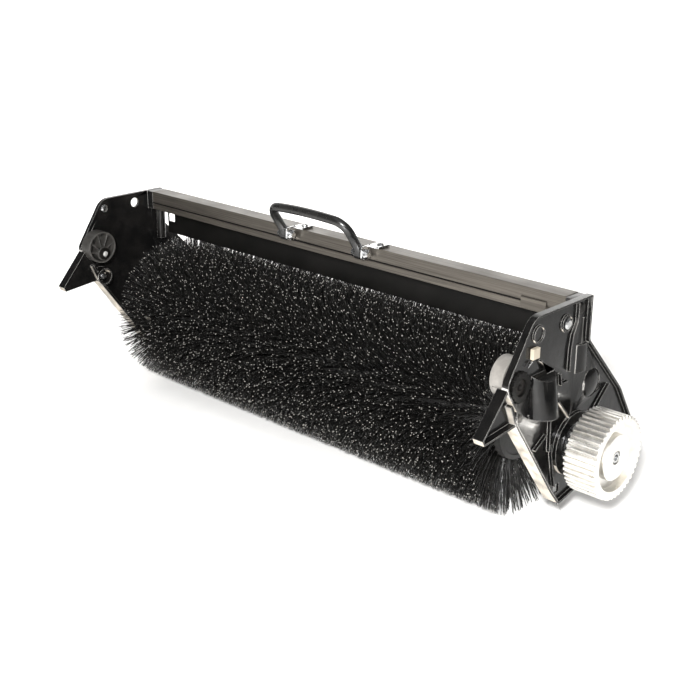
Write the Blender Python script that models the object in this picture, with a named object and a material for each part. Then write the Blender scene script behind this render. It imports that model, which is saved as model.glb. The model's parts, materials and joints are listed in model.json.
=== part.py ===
"""Powered sweeping-brush cartridge: two end plates on a cross bar carry a roller brush
that a toothed pulley turns, with a fold-down carry handle and two turn knobs.

Lengths are in metres. The brush axis runs along X, +Y is the rear and +Z is up. The shapes are
drawn in the brush-axis frame, where the axis is y = 0, z = 0 and x = 0 lies midway between the
end plates; ORIGIN then stands the whole cartridge on its bristles.
"""

import math

import bmesh
import bpy
from mathutils import Matrix, Vector

# ---- driving dimensions -------------------------------------------------------------------
PLATE_SPAN = 0.535        # outer face to outer face of the end plates
AXIS_TO_TOP = 0.1225      # brush axis to the top of the end plates
BAR_FRONT = 0.0095        # brush axis forward to the bar's front face
BAR_DEPTH = 0.0175        # front to back of the cross bar
BAR_HEIGHT = 0.0185
BAR_WALL = 0.0018
BAR_END_INSET = 0.0125    # outer face of a plate to the end of the bar
GROOVE_HEIGHT = 0.0014
GROOVE_DEPTH = 0.0012
GROOVE_BELOW_TOP = 0.0112

BRUSH_RADIUS = 0.075      # to the flats of the bristle body
BRUSH_FLATS = 24
BRUSH_LEFT_GAP = 0.038    # outer face of the left plate to the bristles
BRUSH_RIGHT_GAP = 0.052
CORE_RADIUS = 0.030
CORE_WALL = 0.004
HUB_LENGTH = 0.014
HUB_INSET = 0.001         # end of the core in to the face of a hub
SHAFT_RADIUS = 0.010
SHAFT_REACH = 0.080       # how far a stub shaft reaches in from a plate's outer face
KEY_WIDTH = 0.006
KEY_HEIGHT = 0.006
KEY_LENGTH = 0.013

BEARING_RADIUS = 0.021
BEARING_WIDTH = 0.012
RACE_WALL = 0.003
BALL_CLEARANCE = 0.0004   # between a ball and each race
BALL_COUNT = 7
CAGE_WIDTH = 0.0020
CAGE_WALL = 0.0012
BOSS_WALL = 0.006
SHOULDER = 0.002
RING_WIDTH = 0.0012       # retaining ring, along the axis
RING_RADIAL = 0.0035

PULLEY_TEETH = 44
BELT_PITCH = 0.005
TOOTH_DEPTH = 0.0020
PULLEY_WIDTH = 0.028
PULLEY_STANDOFF = 0.0115  # outer face of the right plate to the pulley
PULLEY_RIM_WALL = 0.0055
PULLEY_DISH = 0.0075
PULLEY_HUB_RADIUS = 0.019
PULLEY_HUB_DROP = 0.0015
PULLEY_WEB = 0.0045
BOLT_RADIUS = 0.003
BOLT_HEAD_RADIUS = 0.005
BOLT_HEAD_HEIGHT = 0.006

PLATE_WEB = 0.0025        # sheet thickness of an end plate
PLATE_RIM = 0.0018        # width of the raised rim round its outline
LEFT_FLOOR = 0.0015       # how far the left plate's outer floor lies below its rim
RIGHT_FLOOR = 0.0035      # the same for the ribbed right plate
PLATE_DEPTH = 0.013       # how far flanges and bosses reach in from the outer face
FLANGE_WALL = 0.003
RIB_WALL = 0.0014
RIB_DROP = 0.0006         # rim down to the top of the right plate's ribs
HORN_WALL = 0.0016
COLUMN_RADIUS = 0.0045    # round post down a plate's rear edge
COLUMN_LENGTH = 0.034
BARREL_RADIUS = 0.0140    # half-round housing bulging from the right plate
BARREL_TOP_BULGE = 0.0100  # how far it stands out from the plate's outer floor
BARREL_FOOT_BULGE = 0.0155
BARREL_SLOPE = 0.45       # its top falls outwards by this share of the bulge
BARREL_WALL = 0.0025
BARREL_Y = -0.0490
BARREL_TOP = 0.0757
BARREL_BOTTOM = 0.0400
POST_RADIUS = 0.0085      # short upright post on the right plate, behind the bearing
POST_BULGE = 0.0042
POST_Y = 0.0045
POST_TOP = 0.0835
POST_BOTTOM = 0.0600
DOME_RADIUS = 0.0140      # low dome below it
DOME_HEIGHT = 0.0052
DOME_Y = 0.0220
DOME_Z = 0.0450
RECESS_RADIUS = 0.0058    # round recesses near the right plate's top
RECESS_WALL = 0.0013
RECESS_Y = -0.0571
RECESS_Z = 0.1065
NOSE_Y = -0.0975          # foremost point of a plate's body
NOSE_Z = 0.0725
ROOT_Y = -0.0835         # where the horn's underside meets the plate
ROOT_Z = 0.0414
HORN_TIP_Y = -0.1234      # foremost point of the guide horn
HORN_TIP_Z = 0.0423
HORN_WIDTH = 0.010
REAR_Y = 0.088            # rearmost point of a plate
TOP_REAR_Y = 0.0105
FOOT_Y = -0.0175          # centre of the rounded lower tip
FOOT_Z = -0.036
FOOT_RADIUS = 0.010

KNOB_Y = -0.078           # knob pivot
KNOB_Z = 0.0705
KNOB_HUB_RADIUS = 0.0095
KNOB_LOBE_RADIUS = 0.016
KNOB_LOBE_RISE = 0.0068   # lobe centre above the pivot
KNOB_LEAN = 12            # degrees the lobe leans forward at rest
KNOB_FACE = 0.018         # outer face of a plate to the knob's open rim
KNOB_WALL = 0.0018
KNOB_TUBE_RADIUS = 0.0072
RIVET_RADIUS = 0.0045
RIVET_BORE = 0.003
RIVET_FLANGE = 0.0062
RIVET_DOME = 0.0018       # height of its head
RIVET_TAIL = 0.0045       # depth of the hollow in its tail
WHEEL_RADIUS = 0.0125
WHEEL_TEETH = 18
CUP_Y = -0.0755           # lock pin cup below the knob
CUP_Z = 0.0445
CUP_RADIUS = 0.0088
CUP_WALL = 0.0016
PIN_RADIUS = 0.004

HANDLE_REACH = 0.094      # between the centres of the handle's legs
HANDLE_LEG = 0.036        # pivot to the straight line between the handle's bends
HANDLE_ARCH = 0.003       # how far the grip bows out beyond that line
HANDLE_ROD = 0.0042       # rod radius
HANDLE_BEND = 0.012
HANDLE_LEAN = 34          # degrees forward of upright at rest
HANDLE_EYE = 0.0055
HANDLE_EYE_FLAT = 0.0002  # worked off each side of the rod at its eyes
HANDLE_PIVOT_DROP = 0.0055  # bar top down to the pivot
BRACKET_SHEET = 0.0018
BRACKET_FLANGE = 0.011

FLAP_THICKNESS = 0.0015
FLAP_CLEAR_BRUSH = 0.0012
FLAP_TOP_DROP = 0.006
FLAP_END_GAP = 0.0135     # a plate's outer face to the rear flap
FLAP_HEM = 0.004
FLAP_RIVET_DROP = 0.0055  # flap's top down to its rivets
FLAP_RIVET_MARGIN = 0.040
WINDOW_WIDTH = 0.0100     # opening in the flap beside the left plate
WINDOW_HEIGHT = 0.0095
WINDOW_BELOW_BAR = 0.0060
RIVET_COUNT = 4
FLAP_RIVET_RADIUS = 0.0016
TOP_SCREW_RADIUS = 0.0016

SCREW_RADIUS = 0.0025     # M5 fasteners
SCREW_HEAD_RADIUS = 0.0046
SCREW_HEAD_HEIGHT = 0.0026
LOW_HEAD_HEIGHT = 0.0011  # flat-headed screws that stay below a plate's rim
NUT_HEIGHT = 0.0035
PLUG_LENGTH = 0.020
HANGER_RADIUS = 0.0046    # hole near the left plate's top
HANGER_Y = -0.0265
HANGER_Z = 0.1125
FRONT_SCREW_Y = -0.0655
FRONT_SCREW_Z = 0.1130
RIGHT_SCREW_Y = -0.0205
RIGHT_SCREW_Z = 0.1060
DETENT_SIDE = 0.0085      # pale block above the ratchet wheel
DETENT_RISE = 0.0185      # knob pivot up to the block
DETENT_BACK = 0.0115
STRIP_END_GAP = 0.054     # right plate's outer face to the groove strip's end
CLIP_LENGTH = 0.024
CLEAR = 0.0003            # gap kept between touching pieces
SIDES = 28                # facets of a round part

# ---- values worked out from them ----------------------------------------------------------
HALF_SPAN = PLATE_SPAN / 2
BAR_BACK = BAR_DEPTH - BAR_FRONT
BAR_BOTTOM = AXIS_TO_TOP - BAR_HEIGHT
BAR_HALF = HALF_SPAN - BAR_END_INSET
PITCH_RADIUS = PULLEY_TEETH * BELT_PITCH / (2 * math.pi)
PULLEY_IN = HALF_SPAN + PULLEY_STANDOFF
PULLEY_OUT = PULLEY_IN + PULLEY_WIDTH
BRUSH_X0 = -HALF_SPAN + BRUSH_LEFT_GAP
BRUSH_X1 = HALF_SPAN - BRUSH_RIGHT_GAP
SEAT_RADIUS = BEARING_RADIUS + CLEAR
BALL_TRACK = (BEARING_RADIUS + SHAFT_RADIUS) / 2
BALL_RADIUS = (BEARING_RADIUS - SHAFT_RADIUS) / 2 - RACE_WALL - BALL_CLEARANCE
BOSS_RADIUS = BEARING_RADIUS + BOSS_WALL
BOSS_DEPTH = SHOULDER + BEARING_WIDTH + RING_WIDTH + 2 * CLEAR
HANDLE_EYE_WIDTH = 2 * (HANDLE_ROD - HANDLE_EYE_FLAT)
HANDLE_PIVOT_Y = -BAR_FRONT - HANDLE_EYE - CLEAR * 2
HANDLE_PIVOT_Z = AXIS_TO_TOP - HANDLE_PIVOT_DROP
EAR_X = HANDLE_EYE_WIDTH / 2 + CLEAR
BRACKET_SCREW_Y = -BAR_FRONT + 0.0065
BAR_SCREW = ((BAR_BACK - BAR_FRONT) / 2, AXIS_TO_TOP - BAR_HEIGHT / 2)
FLAP_FRONT = BAR_BACK + CLEAR
FLAP_BACK = FLAP_FRONT + FLAP_THICKNESS
FLAP_RIVET_Z = AXIS_TO_TOP - FLAP_TOP_DROP - FLAP_RIVET_DROP
FLAP_HALF = HALF_SPAN - FLAP_END_GAP
ORIGIN = Vector((-(PULLEY_OUT - HALF_SPAN) / 2, -(HORN_TIP_Y + REAR_Y) / 2, BRUSH_RADIUS))

# ---- finishes: colour, roughness, metallic --------------------------------------------------
GLOSS_BLACK = ("gloss black plastic", (0.012, 0.012, 0.013, 1), 0.22, 0.0)
SATIN_BLACK = ("black anodised aluminium", (0.035, 0.032, 0.030, 1), 0.38, 0.4)
SHEET_BLACK = ("black painted sheet", (0.010, 0.010, 0.010, 1), 0.45, 0.0)
NYLON = ("black nylon bristle", (0.008, 0.008, 0.009, 1), 0.40, 0.0)
CORE_PLASTIC = ("dark grey plastic", (0.05, 0.05, 0.05, 1), 0.5, 0.0)
GREY_PLASTIC = ("grey knob plastic", (0.16, 0.155, 0.15, 1), 0.45, 0.0)
PALE_PLASTIC = ("pale detent plastic", (0.45, 0.42, 0.36, 1), 0.5, 0.0)
ALUMINIUM = ("machined aluminium", (0.80, 0.80, 0.78, 1), 0.30, 1.0)
STEEL = ("bright steel", (0.62, 0.61, 0.60, 1), 0.25, 1.0)
ROD_BLACK = ("black coated rod", (0.015, 0.015, 0.016, 1), 0.30, 0.0)


# ---- small tools --------------------------------------------------------------------------
def clear_scene():
    for thing in list(bpy.data.objects):
        bpy.data.objects.remove(thing)


def finish_material(finish):
    name, colour, roughness, metallic = finish
    found = bpy.data.materials.get(name)
    if found:
        return found
    made = bpy.data.materials.new(name)
    made.use_nodes = True
    shader = made.node_tree.nodes["Principled BSDF"]
    shader.inputs["Base Color"].default_value = colour
    shader.inputs["Roughness"].default_value = roughness
    shader.inputs["Metallic"].default_value = metallic
    made.diffuse_color = colour
    return made


def place(name, shape, finish, at=(0, 0, 0)):
    """Make an object of a bmesh whose own zero point is `at` in the brush-axis frame."""
    bmesh.ops.remove_doubles(shape, verts=shape.verts, dist=1e-6)
    bmesh.ops.recalc_face_normals(shape, faces=shape.faces)
    mesh = bpy.data.meshes.new(name)
    shape.to_mesh(mesh)
    shape.free()
    mesh.shade_smooth()
    mesh.set_sharp_from_angle(angle=math.radians(35))
    thing = bpy.data.objects.new(name, mesh)
    bpy.context.scene.collection.objects.link(thing)
    thing.location = ORIGIN + Vector(at)
    if finish:
        mesh.materials.append(finish_material(finish))
    return thing


def combine(thing, shape, operation):
    """Cut a bmesh out of an object or join it on; the helper keeps the object's own zero point."""
    helper = place("helper", shape, None, thing.location - ORIGIN)
    helper.hide_render = True
    helper.display_type = "WIRE"
    step = thing.modifiers.new(operation.lower(), "BOOLEAN")
    step.operation = operation
    step.solver = "EXACT"
    step.object = helper


def cut(thing, *shapes):
    for shape in shapes:
        combine(thing, shape, "DIFFERENCE")


def join(thing, *shapes):
    for shape in shapes:
        combine(thing, shape, "UNION")


def prism(outline, x0, x1):
    """A closed solid with the outline's (y, z) points, from x0 to x1."""
    shape = bmesh.new()
    near = [shape.verts.new((x0, y, z)) for y, z in outline]
    far = [shape.verts.new((x1, y, z)) for y, z in outline]
    shape.faces.new(near)
    shape.faces.new(list(reversed(far)))
    count = len(outline)
    for i in range(count):
        j = (i + 1) % count
        shape.faces.new((near[j], near[i], far[i], far[j]))
    return shape


def block(x0, x1, y0, y1, z0, z1):
    return prism([(y0, z0), (y1, z0), (y1, z1), (y0, z1)], x0, x1)


def turned(profile, sides=SIDES, phase=0.0):
    """A closed ring of (x, radius) points turned round the X axis."""
    shape = bmesh.new()
    loops = []
    for k in range(sides):
        turn = 2 * math.pi * (k + phase) / sides
        loops.append([shape.verts.new((x, r * math.cos(turn), r * math.sin(turn))) for x, r in profile])
    count = len(profile)
    for k in range(sides):
        here, after = loops[k], loops[(k + 1) % sides]
        for i in range(count):
            j = (i + 1) % count
            shape.faces.new((here[i], here[j], after[j], after[i]))
    return shape


def ring(x0, x1, inner, outer, sides=SIDES, phase=0.0):
    return turned([(x0, inner), (x1, inner), (x1, outer), (x0, outer)], sides, phase)


def circle(y, z, radius, sides=SIDES, start=0.0, sweep=2 * math.pi, closed=True):
    steps = sides if closed else sides + 1
    return [(y + radius * math.cos(start + sweep * k / sides),
             z + radius * math.sin(start + sweep * k / sides)) for k in range(steps)]


def rod(x0, x1, radius, y=0.0, z=0.0, sides=SIDES):
    return prism(circle(y, z, radius, sides), x0, x1)


def moved(shape, offset):
    bmesh.ops.translate(shape, verts=shape.verts, vec=Vector(offset))
    return shape


def corner_arc(before, corner, after, radius, steps=5):
    """Points that round a corner of an outline with a tangent arc."""
    p, c, n = (Vector(point) for point in (before, corner, after))
    u, w = (p - c).normalized(), (n - c).normalized()
    half = u.angle(w) / 2
    reach = radius / math.tan(half)
    middle = c + (u + w).normalized() * (radius / math.sin(half))
    first, last = c + u * reach - middle, c + w * reach - middle
    turn = first.angle_signed(last)
    points = []
    for k in range(steps + 1):
        angle = -turn * k / steps
        points.append(tuple(middle + Matrix.Rotation(angle, 2) @ first))
    return points


def rounded(corners):
    """An outline from (y, z, radius) corners; a zero radius leaves the corner sharp."""
    points = []
    count = len(corners)
    for i, (y, z, radius) in enumerate(corners):
        if radius == 0:
            points.append((y, z))
            continue
        before, after = corners[i - 1][:2], corners[(i + 1) % count][:2]
        points += corner_arc(before, (y, z), after, radius)
    return points


def inset(corners, distance):
    """Corners of (y, z, radius), anticlockwise, moved inward with their radii kept parallel."""
    moved_in = []
    count = len(corners)
    for i, (y, z, radius) in enumerate(corners):
        here = Vector((y, z))
        before, after = Vector(corners[i - 1][:2]), Vector(corners[(i + 1) % count][:2])
        one, two = (here - before).normalized(), (after - here).normalized()
        normal_one, normal_two = Vector((-one.y, one.x)), Vector((-two.y, two.x))
        middle = (normal_one + normal_two).normalized()
        point = here + middle * (distance / middle.dot(normal_one))
        hollow = one.x * two.y - one.y * two.x < 0
        kept = radius + distance if hollow and radius else max(radius - distance, 0.0)
        moved_in.append((point.x, point.y, kept))
    return moved_in


def band(route, width):
    """The outline of a rib that follows an open route of (y, z) points."""
    left, right = [], []
    for i, point in enumerate(route):
        here = Vector(point)
        before = Vector(route[max(i - 1, 0)])
        after = Vector(route[min(i + 1, len(route) - 1)])
        one = (here - before).normalized() if i else (after - here).normalized()
        two = (after - here).normalized() if i < len(route) - 1 else one
        middle = (Vector((-one.y, one.x)) + Vector((-two.y, two.x))).normalized()
        reach = width / 2 / middle.dot(Vector((-one.y, one.x)))
        left.append(tuple(here + middle * reach))
        right.append(tuple(here - middle * reach))
    return right + list(reversed(left))


# ---- end plates ---------------------------------------------------------------------------
def plate_corners():
    """Side view of an end plate's body, anticlockwise from its top rear corner."""
    return [
        (TOP_REAR_Y, AXIS_TO_TOP, 0.0015),
        (-0.067, AXIS_TO_TOP, 0.016),
        (NOSE_Y, NOSE_Z + 0.004, 0.010),
        (ROOT_Y, ROOT_Z, 0.0),
        (FOOT_Y - 0.014, FOOT_Z + 0.004, 0.0),
        (FOOT_Y - 0.001, FOOT_Z - FOOT_RADIUS - 0.002, 0.006),
        (FOOT_Y + 0.022, FOOT_Z - FOOT_RADIUS + 0.003, 0.0),
        (REAR_Y, -0.022, 0.012),
        (REAR_Y, -0.0068, 0.008),
        (0.064, 0.030, 0.040),
        (TOP_REAR_Y, AXIS_TO_TOP - 0.037, 0.006),
    ]


def flange_route():
    """The plate's lower front edge, from below the knob down to the lower tip."""
    low = KNOB_Z - 0.0115
    along = (NOSE_Z - low) / (NOSE_Z - ROOT_Z)
    return [
        (NOSE_Y + along * (ROOT_Y - NOSE_Y) + 0.002, low),
        (ROOT_Y + 0.0016, ROOT_Z),
        (FOOT_Y - 0.0135 + 0.0012, FOOT_Z + 0.004 + 0.0012),
        (FOOT_Y - 0.002, FOOT_Z - FOOT_RADIUS + 0.0015),
    ]


def sided(side, depth):
    """The X of a point so deep inside a plate's outer face; side is -1 left, +1 right."""
    return side * (HALF_SPAN - depth)


def plate_prism(side, outline, depth0, depth1):
    return prism(outline, sided(side, depth0), sided(side, depth1))


def plate_rod(side, y, z, radius, depth0, depth1, sides=SIDES):
    return rod(sided(side, depth0), sided(side, depth1), radius, y, z, sides)


def horn_outline():
    """Corners of the guide horn that juts forward from a plate's nose."""
    return [
        (NOSE_Y + 0.0015, NOSE_Z + 0.001, 0.0),
        (HORN_TIP_Y, HORN_TIP_Z, 0.0),
        (HORN_TIP_Y + 0.0022, HORN_TIP_Z - 0.0046, 0.0),
        (ROOT_Y + 0.001, ROOT_Z, 0.0),
        (ROOT_Y + 0.002, ROOT_Z + 0.012, 0.0),
    ]


def end_plate(name, side, floor):
    corners = plate_corners()
    web_in = floor + PLATE_WEB
    plate = place(name, plate_prism(side, rounded(corners), 0, web_in), GLOSS_BLACK)
    cut(plate, plate_prism(side, rounded(inset(corners, PLATE_RIM)), -0.01, floor))
    horn = horn_outline()
    join(plate, plate_prism(side, rounded(horn), 0.0002, HORN_WIDTH))
    cut(plate, plate_prism(side, rounded(inset(horn, HORN_WALL)), -0.01, HORN_WIDTH - 0.004))
    lobe = knob_lobe()
    cut(plate, plate_rod(side, KNOB_Y + lobe.x, KNOB_Z + lobe.y, KNOB_LOBE_RADIUS + 2 * CLEAR, web_in, 0.03))
    join(plate, plate_prism(side, band(flange_route(), FLANGE_WALL), 0.0004, PLATE_DEPTH))
    join(plate, block(sided(side, floor + 0.0005), sided(side, BAR_END_INSET - CLEAR),
                      -BAR_FRONT, BAR_BACK, BAR_BOTTOM, AXIS_TO_TOP - 0.0003))
    join(plate, column(side))
    join(plate, plate_rod(side, 0, 0, BOSS_RADIUS, 0.0003, BOSS_DEPTH))
    join(plate, plate_rod(side, CUP_Y, CUP_Z, CUP_RADIUS, floor + 0.0007, PLATE_DEPTH + 0.0007))
    cut(plate, plate_rod(side, CUP_Y, CUP_Z, CUP_RADIUS - CUP_WALL, web_in, PLATE_DEPTH + 0.01))
    cut(plate, plate_rod(side, CUP_Y, CUP_Z, PIN_RADIUS / 2 + CLEAR, -0.01, 0.02, 16))
    cut(plate, plate_rod(side, 0, 0, SEAT_RADIUS, SHOULDER, 0.04))
    cut(plate, plate_rod(side, 0, 0, SEAT_RADIUS - RACE_WALL - CLEAR, -0.01, 0.01))
    cut(plate, plate_rod(side, KNOB_Y, KNOB_Z, RIVET_RADIUS + CLEAR, -0.01, 0.03))
    cut(plate, block(sided(side, -0.01), sided(side, 0.03), FOOT_Y - 0.0045, FOOT_Y + 0.0035,
                     FOOT_Z - 0.003, FOOT_Z + 0.005))
    cut(plate, plate_rod(side, *BAR_SCREW, SCREW_RADIUS + CLEAR, -0.01, 0.03, 16))
    return plate


def column(side):
    """The round post down a plate's rear edge, under the end of the bar."""
    shape = bmesh.new()
    bmesh.ops.create_cone(shape, cap_ends=True, segments=16, radius1=COLUMN_RADIUS, radius2=COLUMN_RADIUS,
                          depth=COLUMN_LENGTH)
    return moved(shape, (sided(side, BAR_END_INSET - COLUMN_RADIUS - CLEAR), BAR_BACK - COLUMN_RADIUS,
                         BAR_BOTTOM - COLUMN_LENGTH / 2 + 0.0005))


def left_end_plate():
    plate = end_plate("left_end_plate", -1, LEFT_FLOOR)
    cut(plate, plate_rod(-1, HANGER_Y, HANGER_Z, HANGER_RADIUS, -0.01, 0.03))
    cut(plate, plate_rod(-1, FRONT_SCREW_Y, FRONT_SCREW_Z, SCREW_RADIUS + CLEAR, -0.01, 0.03, 16))
    return plate


def right_plate_ribs():
    """Routes of the ribs on the right plate's outer face, as (y, z) points."""
    barrel_edge = BARREL_Y + BARREL_RADIUS
    return (
        ((-0.0070, AXIS_TO_TOP - 0.0035), (-0.0070, 0.1045), (-0.0125, 0.0940), (-0.0142, 0.0830),
         (-0.0142, 0.0655)),
        ((-0.0540, 0.0850), (-0.0430, BARREL_TOP + 0.0010), (barrel_edge - 0.0015, BARREL_TOP - 0.0030),
         (barrel_edge + 0.0030, 0.0515), (barrel_edge - 0.0015, BARREL_BOTTOM), (barrel_edge, 0.0040)),
        ((-0.0337, 0.0100), (-0.0275, -0.0168), (-0.0240, -0.0300)),
        ((-0.0262, 0.0436), (-0.0090, 0.0250)),
        ((0.0469, 0.0376), (0.0214, 0.0150)),
        ((-0.0400, 0.0200), (-0.0547, 0.0113)),
        ((-0.0262, 0.0670), (-0.0245, 0.0575), (-0.0160, 0.0582)),
    )


def right_end_plate():
    plate = end_plate("right_end_plate", 1, RIGHT_FLOOR)
    floor = RIGHT_FLOOR
    cut(plate, plate_prism(1, [(BARREL_Y - BARREL_RADIUS - 0.0015, BARREL_BOTTOM + 0.003),
                               (BARREL_Y, BARREL_BOTTOM + 0.003), (BARREL_Y, BARREL_TOP - 0.003),
                               (BARREL_Y - BARREL_RADIUS - 0.0015, BARREL_TOP - 0.003)], -0.01, 0.03))
    join(plate, barrel(0))
    cut(plate, barrel(BARREL_WALL))
    for route in right_plate_ribs():
        join(plate, plate_prism(1, band(route, RIB_WALL), RIB_DROP, floor + 0.0008))
    join(plate, post(), dome())
    for y, z in ((RIGHT_SCREW_Y, RIGHT_SCREW_Z), (RECESS_Y, RECESS_Z)):
        join(plate, plate_rod(1, y, z, RECESS_RADIUS + RECESS_WALL, 0.0016, floor + 0.0009))
        cut(plate, plate_rod(1, y, z, RECESS_RADIUS, -0.01, floor - 0.0004))
    cut(plate, plate_rod(1, RIGHT_SCREW_Y, RIGHT_SCREW_Z, SCREW_RADIUS + CLEAR, -0.01, 0.03, 16))
    return plate


def half_round(radius, foot_bulge, top_bulge, depth, y, z0, z1, slope=0.0, sides=36):
    """An upright half-round on the right plate: its flat side lies at `depth`, its round side outside."""
    arc = circle(0, 0, 1, sides, -math.pi / 2, math.pi, False)
    shape = bmesh.new()
    flat = sided(1, depth)
    low = [shape.verts.new((flat + foot_bulge * c, y + radius * s, z0)) for c, s in arc]
    high = [shape.verts.new((flat + top_bulge * c, y + radius * s, z1 - slope * top_bulge * c)) for c, s in arc]
    shape.faces.new(low)
    shape.faces.new(list(reversed(high)))
    count = len(arc)
    for i in range(count):
        j = (i + 1) % count
        shape.faces.new((low[j], low[i], high[i], high[j]))
    return shape


def barrel(wall):
    """The half-round housing in front of the right bearing, or with a wall the room inside it."""
    depth = RIGHT_FLOOR + PLATE_WEB + (CLEAR if wall else 0)
    foot = BARREL_FOOT_BULGE + depth - RIGHT_FLOOR - wall
    top = BARREL_TOP_BULGE + depth - RIGHT_FLOOR - wall
    radius = BARREL_RADIUS - wall
    return half_round(radius, foot, top, depth, BARREL_Y, BARREL_BOTTOM + wall, BARREL_TOP - wall, BARREL_SLOPE)


def post():
    """The short upright post on the right plate's floor, behind the bearing."""
    depth = RIGHT_FLOOR + PLATE_WEB / 2
    return half_round(POST_RADIUS, POST_BULGE, POST_BULGE, depth, POST_Y, POST_BOTTOM, POST_TOP)


def dome():
    """The low dome below the post."""
    shape = bmesh.new()
    bmesh.ops.create_uvsphere(shape, u_segments=24, v_segments=14, radius=DOME_RADIUS)
    bmesh.ops.scale(shape, verts=shape.verts, vec=(DOME_HEIGHT / DOME_RADIUS, 1, 1))
    return moved(shape, (sided(1, RIGHT_FLOOR + PLATE_WEB), DOME_Y, DOME_Z))


# ---- cross bar, flap, their fasteners -------------------------------------------------------
def cross_bar():
    top, bottom = AXIS_TO_TOP, BAR_BOTTOM
    groove = top - GROOVE_BELOW_TOP
    outline = [
        (-BAR_FRONT, bottom), (BAR_BACK, bottom), (BAR_BACK, top), (-BAR_FRONT, top),
        (-BAR_FRONT, groove), (-BAR_FRONT + GROOVE_DEPTH, groove),
        (-BAR_FRONT + GROOVE_DEPTH, groove - GROOVE_HEIGHT), (-BAR_FRONT, groove - GROOVE_HEIGHT),
    ]
    bar = place("cross_bar", prism(outline, -BAR_HALF, BAR_HALF), SATIN_BLACK)
    wall = BAR_WALL
    cut(bar, block(-BAR_HALF - 0.01, BAR_HALF + 0.01, -BAR_FRONT + GROOVE_DEPTH + wall,
                   BAR_BACK - wall, bottom + wall, top - wall))
    for x in rivet_places():
        cut(bar, along_y(x, FLAP_RIVET_Z, FLAP_RIVET_RADIUS + CLEAR, BAR_BACK - 0.004, BAR_BACK + 0.01))
    for leg in (-1, 1):
        cut(bar, along_z(bracket_screw_x(leg), BRACKET_SCREW_Y, TOP_SCREW_RADIUS + CLEAR,
                         top - 0.005, top + 0.01))
    return bar


def along_y(x, z, radius, y0, y1, sides=16):
    shape = bmesh.new()
    turn = Matrix.Rotation(math.pi / 2, 4, "X")
    bmesh.ops.create_cone(shape, cap_ends=True, segments=sides, radius1=radius, radius2=radius,
                          depth=y1 - y0, matrix=turn)
    return moved(shape, (x, (y0 + y1) / 2, z))


def along_z(x, y, radius, z0, z1, sides=16):
    shape = bmesh.new()
    bmesh.ops.create_cone(shape, cap_ends=True, segments=sides, radius1=radius, radius2=radius,
                          depth=z1 - z0)
    return moved(shape, (x, y, (z0 + z1) / 2))


def rivet_places():
    half = FLAP_HALF - FLAP_RIVET_MARGIN
    return [-half + 2 * half * k / (RIVET_COUNT - 1) for k in range(RIVET_COUNT)]


def rear_flap():
    top = AXIS_TO_TOP - FLAP_TOP_DROP
    low = BRUSH_RADIUS + FLAP_CLEAR_BRUSH
    hem = FLAP_BACK + FLAP_HEM
    outline = [
        (FLAP_FRONT, top), (FLAP_FRONT, low), (hem, low), (hem, low + FLAP_THICKNESS),
        (FLAP_BACK, low + FLAP_THICKNESS), (FLAP_BACK, top),
    ]
    flap = place("rear_flap", prism(outline, -FLAP_HALF, FLAP_HALF), SHEET_BLACK)
    x0, z1 = -FLAP_HALF + 0.0012, BAR_BOTTOM - WINDOW_BELOW_BAR
    cut(flap, block(x0, x0 + WINDOW_WIDTH, FLAP_FRONT - 0.01, FLAP_BACK + 0.02, z1 - WINDOW_HEIGHT, z1))
    for x in rivet_places():
        cut(flap, along_y(x, FLAP_RIVET_Z, FLAP_RIVET_RADIUS + CLEAR, FLAP_FRONT - 0.01, FLAP_BACK + 0.01))
    return flap


def flap_rivets():
    """Domed rivets along the flap's top, from the back into the hollow bar."""
    inside, seat = BAR_BACK - BAR_WALL - 0.001, FLAP_BACK + CLEAR
    profile = [(inside, 0.0), (inside, FLAP_RIVET_RADIUS), (seat, FLAP_RIVET_RADIUS),
               (seat, 2 * FLAP_RIVET_RADIUS), (seat + 0.0006, 1.8 * FLAP_RIVET_RADIUS),
               (seat + 0.0011, FLAP_RIVET_RADIUS), (seat + 0.0011, 0.0)]
    for number, x in enumerate(rivet_places(), 1):
        piece = turned_solid(profile, 12)
        bmesh.ops.rotate(piece, verts=piece.verts, matrix=Matrix.Rotation(math.pi / 2, 3, "Z"))
        place("flap_rivet_%d" % number, piece, STEEL, (x, 0, FLAP_RIVET_Z))


def groove_strip():
    """The slim strip clipped along the bar's groove, ending short of the right plate."""
    groove = AXIS_TO_TOP - GROOVE_BELOW_TOP
    x1 = HALF_SPAN - STRIP_END_GAP
    return place("groove_strip", block(-BAR_HALF + CLEAR, x1, -BAR_FRONT + 0.0004,
                                       -BAR_FRONT + GROOVE_DEPTH - CLEAR,
                                       groove - GROOVE_HEIGHT + CLEAR, groove - CLEAR), SHEET_BLACK)


def strip_clip():
    """The clip that holds the free end of the groove strip on the bar's front."""
    groove = AXIS_TO_TOP - GROOVE_BELOW_TOP
    x0 = HALF_SPAN - STRIP_END_GAP + 0.001
    outline = [(-BAR_FRONT - CLEAR, BAR_BOTTOM + 0.001), (-BAR_FRONT - CLEAR, groove + 0.0035),
               (-BAR_FRONT - 0.0012, groove + 0.0030), (-BAR_FRONT - 0.0016, BAR_BOTTOM + 0.0015)]
    return place("strip_clip", prism(outline, x0, x0 + CLIP_LENGTH), SATIN_BLACK)


def screw(side, y, z, depth, length, rise):
    """A pan-head screw along X with its head's underside at `depth`; side -1 left, +1 right."""
    x = sided(side, depth)
    head = SCREW_HEAD_RADIUS
    profile = [(x - side * length, 0.0), (x - side * length, SCREW_RADIUS), (x, SCREW_RADIUS), (x, head),
               (x + side * rise * 0.6, head), (x + side * rise, head * 0.62), (x + side * rise, 0.0)]
    return moved(turned_solid(profile, 12), (0, y, z))


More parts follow.
